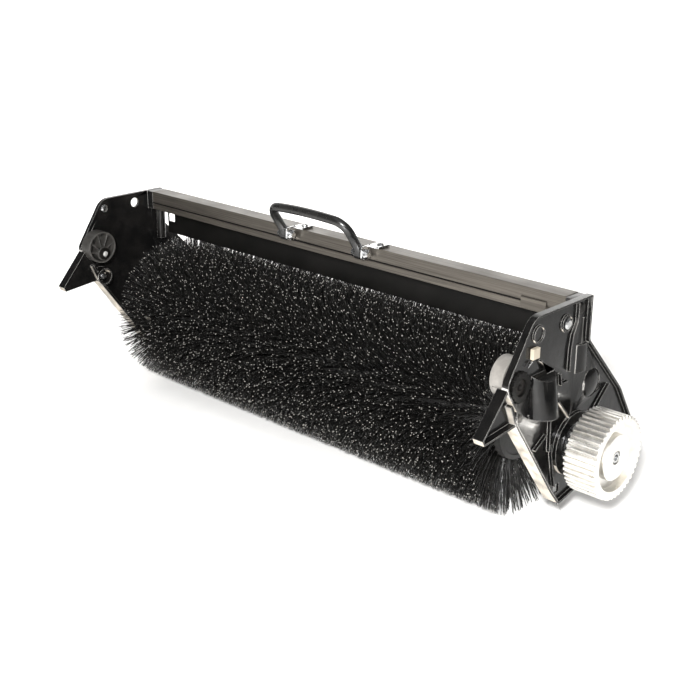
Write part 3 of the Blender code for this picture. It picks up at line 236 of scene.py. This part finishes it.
# %% Black powder coat
def make_powder_coat(name, dark, light, low, high, peel, shine):
    """Powder coat between two tones and two roughnesses; peel is its texture's width in mm."""
    material, shader = new_material(name, IOR=1.50, Specular_IOR_Level=shine)
    place = add_node(material, "ShaderNodeTexCoord")
    skin = add_node(material, "ShaderNodeTexNoise",
                    values={"Scale": 1 / (peel * MM), "Detail": 2.0},
                    links={"Vector": (place, "Object")})
    cloud = add_node(material, "ShaderNodeTexNoise", values={"Scale": 1 / (25 * MM), "Detail": 5.0},
                     links={"Vector": (place, "Object")})
    tone = add_node(material, "ShaderNodeValToRGB", links={"Fac": (cloud, "Fac")},
                    stops=[(0.35, linear(dark)), (0.75, linear(light))])
    rough = add_node(material, "ShaderNodeValToRGB", links={"Fac": (cloud, "Fac")},
                     stops=[(0.30, grey(low)), (0.75, grey(high))])
    bump = add_node(material, "ShaderNodeBump", values={"Strength": 0.35, "Distance": 0.10 * MM},
                    links={"Height": (skin, "Fac")})
    connect(material, shader, {"Base Color": (tone, "Color"), "Roughness": (rough, "Color"),
                               "Normal": (bump, "Normal")})
    return material


POWDER_BLACK = make_powder_coat("black_powder_coated_steel", "#070706", "#11100F",
                                0.42, 0.60, peel=1.5, shine=0.12)
ROD_BLACK = make_powder_coat("black_coated_handle_rod", "#121212", "#22211F",
                             0.22, 0.34, peel=2.2, shine=0.50)
print(POWDER_BLACK.name, ROD_BLACK.name)

# %% [markdown]
# The knobs are glass-filled polyamide from a spark-eroded tool: an even grain about 0.8 mm across,
# dull, with paler fibres that come through in wisps. The right knob is mid grey; the left one is
# coloured darker as painted shade, since it faces away from the light. The same recipe in other
# colours serves the pale acetal block and the dark core and hubs of the brush.

# %% Grained plastics
def make_grained(name, dark, light, low, high, grain):
    """Moulded plastic between two tones and two roughnesses; grain is its width in mm."""
    material, shader = new_material(name, IOR=1.52)
    place = add_node(material, "ShaderNodeTexCoord")
    speck = add_node(material, "ShaderNodeTexNoise",
                     values={"Scale": 1 / (grain * MM), "Detail": 3.0},
                     links={"Vector": (place, "Object")})
    wisp = add_node(material, "ShaderNodeTexNoise",
                    values={"Scale": 1 / (7 * MM), "Detail": 6.0, "Distortion": 0.6},
                    links={"Vector": (place, "Object")})
    tone = add_node(material, "ShaderNodeValToRGB", links={"Fac": (wisp, "Fac")},
                    stops=[(0.30, linear(dark)), (0.75, linear(light))])
    rough = add_node(material, "ShaderNodeValToRGB", links={"Fac": (speck, "Fac")},
                     stops=[(0.25, grey(low)), (0.75, grey(high))])
    bump = add_node(material, "ShaderNodeBump", values={"Strength": 0.4, "Distance": 0.06 * MM},
                    links={"Height": (speck, "Fac")})
    connect(material, shader, {"Base Color": (tone, "Color"), "Roughness": (rough, "Color"),
                               "Normal": (bump, "Normal")})
    return material


# Painted shade: the left knob is the right knob's polyamide, coloured darker because it is out of
# the light.
KNOB_PAINTED_SHADE = make_grained("grained_polyamide_painted_shade", "#262523", "#3B3936", 0.38, 0.55, 0.8)
KNOB_GREY = make_grained("grained_grey_polyamide", "#5E5B57", "#75726D", 0.42, 0.60, 0.8)
ACETAL = make_grained("pale_acetal", "#8F8677", "#A89E8E", 0.36, 0.50, 1.0)
CORE_PLASTIC = make_grained("dark_core_plastic", "#262625", "#343332", 0.45, 0.60, 1.2)
print(KNOB_GREY.name, ACETAL.name, CORE_PLASTIC.name)

# %% [markdown]
# The pulley is turned from aluminium bar, so its faces carry rings round the axis, and tumbling
# then softened them to a satin white metal. Rings are a wave pattern by distance from the axis,
# one every 0.7 mm. The lathe's rings are finer than that and are drawn coarser to show.

# %% Turned aluminium
def make_turned_aluminium():
    """Satin white metal with faint turning rings round the brush axis."""
    material, shader = new_material("turned_aluminium", Metallic=1.0)
    place = add_node(material, "ShaderNodeTexCoord")
    centre = add_node(material, "ShaderNodeMapping",
                      values={"Location": (0.0, -AXIS.y, -AXIS.z), "Scale": (0.0, 1.0, 1.0)},
                      links={"Vector": (place, "Object")})
    rings = add_node(material, "ShaderNodeTexWave",
                     {"wave_type": "RINGS", "rings_direction": "SPHERICAL"},
                     {"Scale": 0.314 / (0.7 * MM) / 2, "Distortion": 0.4, "Detail": 1.0},
                     {"Vector": (centre, "Vector")})
    stain = add_node(material, "ShaderNodeTexNoise", values={"Scale": 1 / (6 * MM), "Detail": 5.0},
                     links={"Vector": (place, "Object")})
    tone = add_node(material, "ShaderNodeValToRGB", links={"Fac": (stain, "Fac")},
                    stops=[(0.25, linear("#E4E1DA")), (0.75, linear("#F6F4F0"))])
    rough = add_node(material, "ShaderNodeValToRGB", links={"Fac": (stain, "Fac")},
                     stops=[(0.25, grey(0.26)), (0.75, grey(0.42))])
    bump = add_node(material, "ShaderNodeBump", values={"Strength": 0.18, "Distance": 0.05 * MM},
                    links={"Height": (rings, "Fac")})
    connect(material, shader, {"Base Color": (tone, "Color"), "Roughness": (rough, "Color"),
                               "Normal": (bump, "Normal")})
    return material


ALUMINIUM = make_turned_aluminium()
print(ALUMINIUM.name)

# %% [markdown]
# Fasteners are steel with one of three skins. Bright zinc is a slightly blue mirror, clouded by
# fingers every few millimetres. Black oxide is a thin dark skin that still shines like metal.
# The knobs' rivets have bright domed crowns, and round them the flanges are painted dark as shade:
# the tone goes by the distance from the rivet's middle, which is the same line through both plates.

# %% Plated and blackened steel
def make_zinc_plate():
    """Bright zinc on steel: a slightly blue mirror, clouded where it was handled."""
    material, shader = new_material("bright_zinc_plated_steel", Metallic=1.0)
    place = add_node(material, "ShaderNodeTexCoord")
    cloud = add_node(material, "ShaderNodeTexNoise",
                     values={"Scale": 1 / (2.5 * MM), "Detail": 4.0},
                     links={"Vector": (place, "Object")})
    tone = add_node(material, "ShaderNodeValToRGB", links={"Fac": (cloud, "Fac")},
                    stops=[(0.30, linear("#B8B9BB")), (0.75, linear("#DADAD8"))])
    rough = add_node(material, "ShaderNodeValToRGB", links={"Fac": (cloud, "Fac")},
                     stops=[(0.30, grey(0.16)), (0.75, grey(0.34))])
    connect(material, shader, {"Base Color": (tone, "Color"), "Roughness": (rough, "Color")})
    return material


def make_black_oxide():
    """Steel blackened in a hot bath: a thin dark skin that still shines like metal."""
    material, shader = new_material("black_oxide_steel", Metallic=0.9)
    place = add_node(material, "ShaderNodeTexCoord")
    cloud = add_node(material, "ShaderNodeTexNoise", values={"Scale": 1 / (3 * MM), "Detail": 4.0},
                     links={"Vector": (place, "Object")})
    tone = add_node(material, "ShaderNodeValToRGB", links={"Fac": (cloud, "Fac")},
                    stops=[(0.30, linear("#1C1B1A")), (0.75, linear("#34322F"))])
    rough = add_node(material, "ShaderNodeValToRGB", links={"Fac": (cloud, "Fac")},
                     stops=[(0.30, grey(0.30)), (0.75, grey(0.48))])
    connect(material, shader, {"Base Color": (tone, "Color"), "Roughness": (rough, "Color")})
    return material


def make_rivet():
    """Steel with a bright domed crown and a flange painted dark as shade, from 2.4 to 3.0 mm out.
    """
    material, shader = new_material("rivet_steel_painted_shade", Metallic=1.0)
    low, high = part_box("left_knob_rivet")
    middle = (low + high) / 2
    place = add_node(material, "ShaderNodeNewGeometry")
    centre = add_node(material, "ShaderNodeMapping",
                      values={"Location": (0.0, -middle.y, -middle.z), "Scale": (0.0, 1.0, 1.0)},
                      links={"Vector": (place, "Position")})
    away = add_node(material, "ShaderNodeVectorMath", {"operation": "LENGTH"},
                    links={0: (centre, "Vector")})
    share = add_node(material, "ShaderNodeMath", {"operation": "DIVIDE"},
                     {1: 10 * MM}, {0: (away, "Value")})
    # Painted shade: beyond the crown the rivet is coloured dark.
    tone = add_node(material, "ShaderNodeValToRGB", links={"Fac": (share, "Value")},
                    stops=[(0.24, linear("#FFFEFA")), (0.30, linear("#2A2826"))])
    rough = add_node(material, "ShaderNodeValToRGB", links={"Fac": (share, "Value")},
                     stops=[(0.24, grey(0.55)), (0.30, grey(0.50))])
    connect(material, shader, {"Base Color": (tone, "Color"), "Roughness": (rough, "Color")})
    return material


ZINC = make_zinc_plate()
BLACK_OXIDE = make_black_oxide()
RIVET = make_rivet()
print(ZINC.name, BLACK_OXIDE.name, RIVET.name)

# %% [markdown]
# Sweeping bristles are extruded black nylon. Each one is a smooth, slightly oily-looking rod, so
# it catches light as a thin streak along its length. Where it is cut to length the end is rough,
# and one end in three is painted pale as a painted glint of the light on the cut; on a brush full
# of them those ends read as a field of bright dots.

# %% Bristle nylon
def make_nylon(name, dark, light, low, high):
    """Nylon between two tones and two roughnesses, which change every 4 mm or so."""
    material, shader = new_material(name, IOR=1.53)
    place = add_node(material, "ShaderNodeTexCoord")
    streak = add_node(material, "ShaderNodeTexNoise", values={"Scale": 1 / (4 * MM), "Detail": 3.0},
                      links={"Vector": (place, "Object")})
    tone = add_node(material, "ShaderNodeValToRGB", links={"Fac": (streak, "Fac")},
                    stops=[(0.35, linear(dark)), (0.70, linear(light))])
    rough = add_node(material, "ShaderNodeValToRGB", links={"Fac": (streak, "Fac")},
                     stops=[(0.35, grey(low)), (0.70, grey(high))])
    connect(material, shader, {"Base Color": (tone, "Color"), "Roughness": (rough, "Color")})
    return material


NYLON = make_nylon("black_bristle_nylon", "#0A0A0A", "#242321", 0.16, 0.28)
# Painted highlight: the cut ends are coloured pale, standing for glints of the flash on them.
NYLON_END_GLINT = make_nylon("bristle_end_painted_glint", "#4A4946", "#A5A29B", 0.45, 0.60)
print(NYLON.name, NYLON_END_GLINT.name)

# %% [markdown]
# The filaments sit in tufts, because a brush core is drilled and each hole is filled with one
# folded bundle. Holes run in staggered rows that wind slowly round the core. Near the ends the
# bundles lean outwards, to sweep right up to the end plates. Real filaments are thinner and far
# more of them go in a hole; these are drawn 0.7 mm thick so that fewer fill the brush.

# %% Bristle sizes
CORE_RADIUS = 30 * MM
TIP_RADIUS = AXIS.z - bristle_low.z
TRIM, TRIM_SPREAD = 0.2 * MM, 0.6 * MM      # where the tips are trimmed, and how unevenly
TRIM_LIMITS = (-4 * MM, 1.0 * MM)   # the shortest and the longest against the nominal radius
WORN_SHARE, WORN_BY = 0.25, 5 * MM  # filaments worn shorter, and by how much at most
FILAMENT = 0.36 * MM            # filament radius
TUFT_PITCH = 7.6 * MM           # along the axis
TUFT_ROWS = 27                  # round the core
TUFT_FILAMENTS = 15             # in each hole
# Painted highlight: every third filament's cut end is painted pale as a glint.
GLINT_EVERY = 3                  # one filament in three shows its pale cut end
HOLE_SPREAD = 0.9 * MM          # how widely a bundle's filaments leave the hole
AXIAL_SPLAY = 4.8 * MM          # how far a tuft's outer filaments lean along the axis at the tip
ROUND_SPLAY = math.radians(7.0)     # and how far they lean round it
STRAY, STRAY_TURN = 0.8 * MM, math.radians(0.8)     # how far any filament strays from that
CURL = math.radians(1.0)        # how far a filament curls round the brush towards its tip
GOLDEN = math.pi * (3 - math.sqrt(5))   # the golden angle
LEAN_CURVE = 1.3                # over 1, so that a filament leans more and more towards its tip
WINDING = math.radians(300) / 0.5   # how far the rows wind round, per metre
END_MARGIN = 7 * MM             # outermost holes to the ends of the packed bristles
LEFT_ROOT = bristle_low.x - AXIS.x + END_MARGIN
RIGHT_ROOT = bristle_high.x - AXIS.x - END_MARGIN
FAN_LENGTH = 70 * MM            # how far in from the ends the tufts start to lean
FAN_REACH = 11 * MM             # how far the outermost tufts lean out at the tip
RINGS = (0.0, 0.55, 0.982, 1.0)     # where a filament's rings sit, from root to tip
SIDES = 3
print("tip radius", round(TIP_RADIUS / MM, 2), "mm")
print("roots", round(LEFT_ROOT / MM, 1), "to", round(RIGHT_ROOT / MM, 1), "mm")

# %% [markdown]
# A tuft splays open like a bunch of flowers: the filaments in the middle stand straight and the
# outer ones lean most. The golden angle spreads them evenly over that round bunch, and a little
# chance on top keeps it from looking drawn. All filaments of one stretch of the brush are worked
# out at once with arrays.

# %% Grow one stretch of bristles
def grow_filaments(columns, seed):
    """Centre lines of all filaments in these tuft columns, as (filament, ring, xyz) in metres."""
    chance = np.random.default_rng(seed)
    tufts = []
    for column, x in columns:
        for row in range(TUFT_ROWS):
            turn = 2 * math.pi * (row + 0.5 * (column % 2)) / TUFT_ROWS + WINDING * x
            tufts.append((x, turn))
    tufts = np.repeat(np.array(tufts), TUFT_FILAMENTS, axis=0)
    count = len(tufts)
    root_x = tufts[:, 0] + chance.normal(0, HOLE_SPREAD, count)
    root_turn = tufts[:, 1] + chance.normal(0, HOLE_SPREAD / CORE_RADIUS, count)
    to_right = np.clip(1 - (RIGHT_ROOT - root_x) / FAN_LENGTH, 0, 1)
    to_left = np.clip(1 - (root_x - LEFT_ROOT) / FAN_LENGTH, 0, 1)
    place_in_tuft = np.arange(count) % TUFT_FILAMENTS
    out = np.sqrt((place_in_tuft + 0.5) / TUFT_FILAMENTS)
    first = chance.uniform(0, 2 * math.pi, count // TUFT_FILAMENTS)
    around = place_in_tuft * GOLDEN + np.repeat(first, TUFT_FILAMENTS)
    lean_x = (to_right ** 2 - to_left ** 2) * FAN_REACH + out * np.cos(around) * AXIAL_SPLAY
    lean_x += chance.normal(0, STRAY, count)
    lean_turn = out * np.sin(around) * ROUND_SPLAY + chance.normal(0, STRAY_TURN, count)
    curl = chance.normal(0, CURL, count)
    worn = np.where(chance.random(count) < WORN_SHARE, chance.uniform(0, WORN_BY, count), 0)
    trim = np.clip(chance.normal(TRIM, TRIM_SPREAD, count), *TRIM_LIMITS)
    tip = TIP_RADIUS - worn + trim
    lines = np.zeros((count, len(RINGS), 3))
    for k, t in enumerate(RINGS):
        turn = root_turn + lean_turn * t + curl * t * t
        radius = CORE_RADIUS + (tip - CORE_RADIUS) * t
        x = root_x + lean_x * t ** LEAN_CURVE
        lines[:, k] = np.stack([x, radius * np.cos(turn), radius * np.sin(turn)], axis=1)
    return lines


GIVE = 0.8                      # how far a pressed filament slides out, per length pressed
ABOVE_FLOOR = 0.3 * MM


def rest_on_floor(lines):
    """Filaments that would reach below the floor give way sideways."""
    depth = np.minimum(lines[:, :, 2] + AXIS.z - ABOVE_FLOOR, 0)
    lines[:, :, 1] += np.sign(lines[:, :, 1]) * -depth * GIVE
    lines[:, :, 2] -= depth
    return lines


print(TUFT_ROWS * TUFT_FILAMENTS, "filaments to each column of tufts")

# %% [markdown]
# A filament's skin is a bent three-sided tube with a cap on its tip, and smooth shading makes
# that round enough. The corners of all rings are numbered in order, filament by filament, so the
# tubes' faces follow by counting. The last short ring and the cap are the cut end.

# %% Skin the filaments
def filament_mesh(name, lines, seed):
    """One mesh of three-sided tubes along the lines; some filaments get a cut end painted pale as a
    glint.
    """
    chance = np.random.default_rng(seed)
    count, rings = lines.shape[:2]
    turn = np.arctan2(lines[:, 0, 2], lines[:, 0, 1])
    round_way = np.stack([np.zeros(count), -np.sin(turn), np.cos(turn)], axis=1)
    spin = chance.uniform(0, 2 * math.pi, count)
    corners = np.zeros((count, rings, SIDES, 3))
    for side in range(SIDES):
        angle = spin + 2 * math.pi * side / SIDES
        offset = np.outer(np.cos(angle), [1, 0, 0]) + round_way * np.sin(angle)[:, None]
        corners[:, :, side] = lines + offset[:, None] * FILAMENT
    base = np.arange(count)[:, None] * rings * SIDES
    faces = []
    for k in range(rings - 1):
        for side in range(SIDES):
            a = base + k * SIDES + side
            b = base + k * SIDES + (side + 1) % SIDES
            faces.append(np.hstack([a, b, b + SIDES, a + SIDES]))
    caps = np.hstack([base + (rings - 1) * SIDES + side for side in range(SIDES)])
    quads = np.stack(faces, axis=1).reshape(-1)
    mesh = bpy.data.meshes.new(name)
    mesh.vertices.add(count * rings * SIDES)
    mesh.vertices.foreach_set("co", (corners.reshape(-1, 3) + np.array(AXIS)).ravel())
    quad_count = count * len(faces)
    loops = np.concatenate([quads, caps.ravel()])
    starts = np.concatenate([np.arange(quad_count) * 4, quad_count * 4 + np.arange(count) * SIDES])
    mesh.loops.add(len(loops))
    mesh.loops.foreach_set("vertex_index", loops.astype(np.int32))
    mesh.polygons.add(len(starts))
    mesh.polygons.foreach_set("loop_start", starts.astype(np.int32))
    # Painted highlight: these filaments' last ring and cap take the pale glint material.
    pale = np.arange(count) % GLINT_EVERY == 0
    index = np.zeros((count, len(faces)), np.int32)
    index[:, -SIDES:] = pale[:, None]
    slots = np.concatenate([index.ravel(), pale.astype(np.int32)])
    mesh.polygons.foreach_set("material_index", slots)
    mesh.update(calc_edges=True)
    mesh.validate()
    mesh.shade_smooth()
    mesh.materials.append(NYLON)
    mesh.materials.append(NYLON_END_GLINT)
    return mesh


def add_object(name, data):
    """A new object, in the scene."""
    thing = bpy.data.objects.new(name, data)
    bpy.context.scene.collection.objects.link(thing)
    return thing


print("bristle skin ready")

# %% [markdown]
# The brush is grown in four stretches, each one piece, so no piece grows heavy. They all turn
# with the brush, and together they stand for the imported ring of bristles.

# %% Fill the brush
STRETCHES = 4
gaps = int((RIGHT_ROOT - LEFT_ROOT) / TUFT_PITCH)
all_columns = [(k, LEFT_ROOT + (RIGHT_ROOT - LEFT_ROOT) * k / gaps) for k in range(gaps + 1)]
edges = [stretch * len(all_columns) // STRETCHES for stretch in range(STRETCHES + 1)]
for stretch in range(STRETCHES):
    own = all_columns[edges[stretch]:edges[stretch + 1]]
    lines = rest_on_floor(grow_filaments(own, 100 + stretch))
    name = "bristles_%d" % (stretch + 1)
    piece = add_object(name, filament_mesh(name, lines, 200 + stretch))
    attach(piece, "brush")
    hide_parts("brush_bristles")
    print(name, len(own), "columns,", len(lines), "filaments")

# %% [markdown]
# No edge of a real moulding or extrusion is sharp. The tool's corners leave a radius of a few
# tenths of a millimetre, and that radius is what draws the thin bright line round every rim and
# rib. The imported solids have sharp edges, so each visible one is copied, its facets are merged
# back into flat faces, and a bevel rounds every edge by the radius that its process leaves.

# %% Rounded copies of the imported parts
EDGE_ANGLE = math.radians(32)   # facets that meet more sharply than this have an edge
SAME_FACE = math.radians(0.6)   # and more flatly than this are one face
SAME_POINT = 0.004 * MM


def eased_copy(node, name, material, radius):
    """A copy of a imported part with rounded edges, which stands for it."""
    source = frame["nodes"][node]
    shape = bmesh.new()
    shape.from_mesh(source.data)
    bmesh.ops.remove_doubles(shape, verts=shape.verts, dist=SAME_POINT)
    bmesh.ops.dissolve_limit(shape, angle_limit=SAME_FACE, verts=shape.verts, edges=shape.edges)
    mesh = bpy.data.meshes.new(name)
    shape.to_mesh(mesh)
    shape.free()
    mesh.shade_smooth()
    mesh.materials.append(material)
    piece = add_object(name, mesh)
    if radius:
        bevel = piece.modifiers.new("edge_radius", "BEVEL")
        bevel.width = radius
        bevel.segments = 2
        bevel.limit_method = "ANGLE"
        bevel.angle_limit = EDGE_ANGLE
        bevel.use_clamp_overlap = False
        bevel.harden_normals = True
    mesh.set_sharp_from_angle(angle=EDGE_ANGLE)
    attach(piece, BODY_OF[node])
    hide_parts(node)
    return piece


MOULDED = (
    ("left_end_plate", "left_plate", GLOSS_BLACK, 0.35 * MM),
    ("right_end_plate", "right_plate", GLOSS_BLACK, 0.35 * MM),
    ("cross_bar", "extruded_bar", ANODISED, 0.4 * MM),
    ("groove_strip", "slim_strip", POWDER_BLACK, 0.15 * MM),
    ("strip_clip", "bar_clip", ANODISED, 0.2 * MM),
    ("rear_flap", "folded_flap", POWDER_BLACK, 0.3 * MM),
    ("left_handle_bracket", "left_bracket", ZINC, 0.3 * MM),
    ("right_handle_bracket", "right_bracket", ZINC, 0.3 * MM),
    ("left_knob", "left_turn_knob", KNOB_PAINTED_SHADE, 0.4 * MM),
    ("right_knob", "right_turn_knob", KNOB_GREY, 0.4 * MM),
    ("detent_block", "acetal_block", ACETAL, 0.4 * MM),
    ("drive_pulley", "turned_pulley", ALUMINIUM, 0.3 * MM),
    ("carry_handle", "bent_handle", ROD_BLACK, 0.0),
)
for node, name, material, radius in MOULDED:
    piece = eased_copy(node, name, material, radius)
    print(name, len(piece.data.polygons), "faces")

# %% [markdown]
# The parts that stay as packed still need their finish. Screws, nuts, races and shafts are bright
# steel unless this table says otherwise. A part that has a rounded copy gets one too, so that no
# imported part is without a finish.

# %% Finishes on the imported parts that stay
KEPT_FINISH = {
    "brush_core": CORE_PLASTIC, "left_hub": CORE_PLASTIC, "right_hub": CORE_PLASTIC,
    "left_bearing_cap": KNOB_GREY, "ratchet_wheel": POWDER_BLACK,
    "left_bar_plug": ALUMINIUM, "right_bar_plug": ALUMINIUM,
    "left_bar_screw": BLACK_OXIDE, "right_bar_screw": BLACK_OXIDE, "right_lock_pin": BLACK_OXIDE,
    "left_knob_rivet": RIVET, "right_knob_rivet": RIVET,
}
for node, thing in frame["nodes"].items():
    thing.data.materials.clear()
    thing.data.materials.append(KEPT_FINISH.get(node, ZINC))
print(len(frame["nodes"]), "packed parts finished")

# %% [markdown]
# The cartridge lies on a seamless white sheet that curves up behind it, as in a product studio.
# The sheet is wide and pale, so glossy plastic has something bright and plain to mirror.

# %% Studio sheet
SHEET_FRONT, SHEET_FLAT, SHEET_BEND, SHEET_TOP = -3.0, 1.4, 0.8, 3.0   # metres, from the brush
SHEET_HALF_WIDTH = 4
SHEET_TURN = math.radians(43)   # it faces the camera


def studio_sheet():
    """White paper: flat under the brush, then a quarter bend up to a wall."""
    profile = [(SHEET_FRONT, 0.0), (-1.0, 0.0), (SHEET_FLAT, 0.0)]
    for a in np.linspace(0.15, math.pi / 2, 12):
        profile.append((SHEET_FLAT + SHEET_BEND * math.sin(a),
                        SHEET_BEND - SHEET_BEND * math.cos(a)))
    profile.append((SHEET_FLAT + SHEET_BEND, SHEET_TOP))
    across = Vector((math.cos(SHEET_TURN), math.sin(SHEET_TURN), 0))
    back = Vector((-math.sin(SHEET_TURN), math.cos(SHEET_TURN), 0))
    shape = bmesh.new()
    rows = [[shape.verts.new(across * u + back * v + Vector((0, 0, z)))
             for u in (-SHEET_HALF_WIDTH, SHEET_HALF_WIDTH)] for v, z in profile]
    for one, two in zip(rows, rows[1:]):
        shape.faces.new((one[0], one[1], two[1], two[0]))
    mesh = bpy.data.meshes.new("studio_sheet")
    shape.to_mesh(mesh)
    shape.free()
    mesh.shade_smooth()
    return add_object("studio_sheet", mesh)


def make_paper():
    """Matt white paper, with fibres that cloud it every 30 mm or so."""
    material, shader = new_material("white_paper", Roughness=0.9)
    place = add_node(material, "ShaderNodeTexCoord")
    fibre = add_node(material, "ShaderNodeTexNoise", values={"Scale": 1 / (30 * MM), "Detail": 3.0},
                     links={"Vector": (place, "Object")})
    tone = add_node(material, "ShaderNodeValToRGB", links={"Fac": (fibre, "Fac")},
                    stops=[(0.3, linear("#F4F3F1")), (0.7, linear("#F8F7F5"))])
    connect(material, shader, {"Base Color": (tone, "Color")})
    return material


sheet = studio_sheet()
sheet.data.materials.append(make_paper())
print("sheet in place")

# %% [markdown]
# The camera looks down a little from the front right, through a slightly long lens. It is rolled
# by a third of a degree, as a hand-held one is.

# %% Camera
def outward(azimuth, elevation):
    """The way from the brush towards a place round it, with 0 degrees straight in front."""
    return Vector((math.sin(azimuth) * math.cos(elevation),
                   -math.cos(azimuth) * math.cos(elevation), math.sin(elevation)))


AZIMUTH, ELEVATION, ROLL = math.radians(43.29), math.radians(20.5), math.radians(0.29)
DISTANCE = 1.12427              # metres, from the point that it looks at
AIM = AXIS + Vector((0.0, 21.24 * MM, 4.34 * MM))
BACK = outward(AZIMUTH, ELEVATION)
UP = Vector((0, 0, 1))
lens = bpy.data.cameras.new("camera")
lens.lens = 60.51
lens.sensor_width = 36
camera = add_object("camera", lens)
camera.location = AIM + BACK * DISTANCE
camera.rotation_euler = (BACK.to_track_quat("Z", "Y") @ Quaternion((0, 0, 1), ROLL)).to_euler()
bpy.context.scene.camera = camera
print("camera at", [round(v, 3) for v in camera.location])

# %% [markdown]
# A small hard flash beside the camera puts the sparks on rims and bristle ends and throws the
# shadow. Soft panels fill in, and a low strip stands in front of the right plate. A last panel
# faces away from the brush and whitens the backdrop.

# %% Panels
def panel(name, azimuth, elevation, distance, size, watts):
    """A soft square light that faces the brush; angles in degrees, sizes in metres."""
    light = bpy.data.lights.new(name, "AREA")
    light.size = size
    light.energy = watts
    way = outward(math.radians(azimuth), math.radians(elevation))
    lamp = add_object(name, light)
    lamp.location = AIM + way * distance
    lamp.rotation_euler = way.to_track_quat("Z", "Y").to_euler()
    lamp.visible_camera = False
    return lamp


panel("overhead_panel", 20, 80, 2.2, 2.0, 9)
panel("camera_panel", 60, 38, 2.0, 0.8, 6)
panel("flash", 38, 27, 1.5, 0.12, 40)
strip = panel("low_strip", 34.5, 2.5, 0.8, 0.22, 2.6)
strip.data.shape = "RECTANGLE"
strip.data.size_y = 0.15

BEHIND, ABOVE, DOWNWARD = 0.6, 1.2, 0.36
view_flat = Vector((-BACK.x, -BACK.y, 0)).normalized()
backdrop = panel("backdrop_panel", 0, 0, 1, 1.0, 55)
backdrop.location = AIM + view_flat * BEHIND + UP * ABOVE
backdrop.rotation_euler = (UP * DOWNWARD - view_flat).to_track_quat("Z", "Y").to_euler()
print("five panels")

# %% [markdown]
# A spot makes a bright pool on the sheet in front, which glossy faces mirror. The room itself
# adds only a trace of light, so that no corner is quite black.

# %% Spot and room
pool = bpy.data.lights.new("floor_pool", "SPOT")
pool.energy = 60
pool.spot_size = math.radians(48)
pool.spot_blend = 1.0
pool.shadow_soft_size = 0.1
add_object("floor_pool", pool).location = AXIS + Vector((0.03, -0.47, 0.85))

world = bpy.data.worlds.new("studio")
world.use_nodes = True
room = world.node_tree.nodes["Background"]
room.inputs["Color"].default_value = linear("#FFFFFF")
room.inputs["Strength"].default_value = 0.15
bpy.context.scene.world = world
bpy.context.scene.view_settings.view_transform = "Standard"
print("lights set")
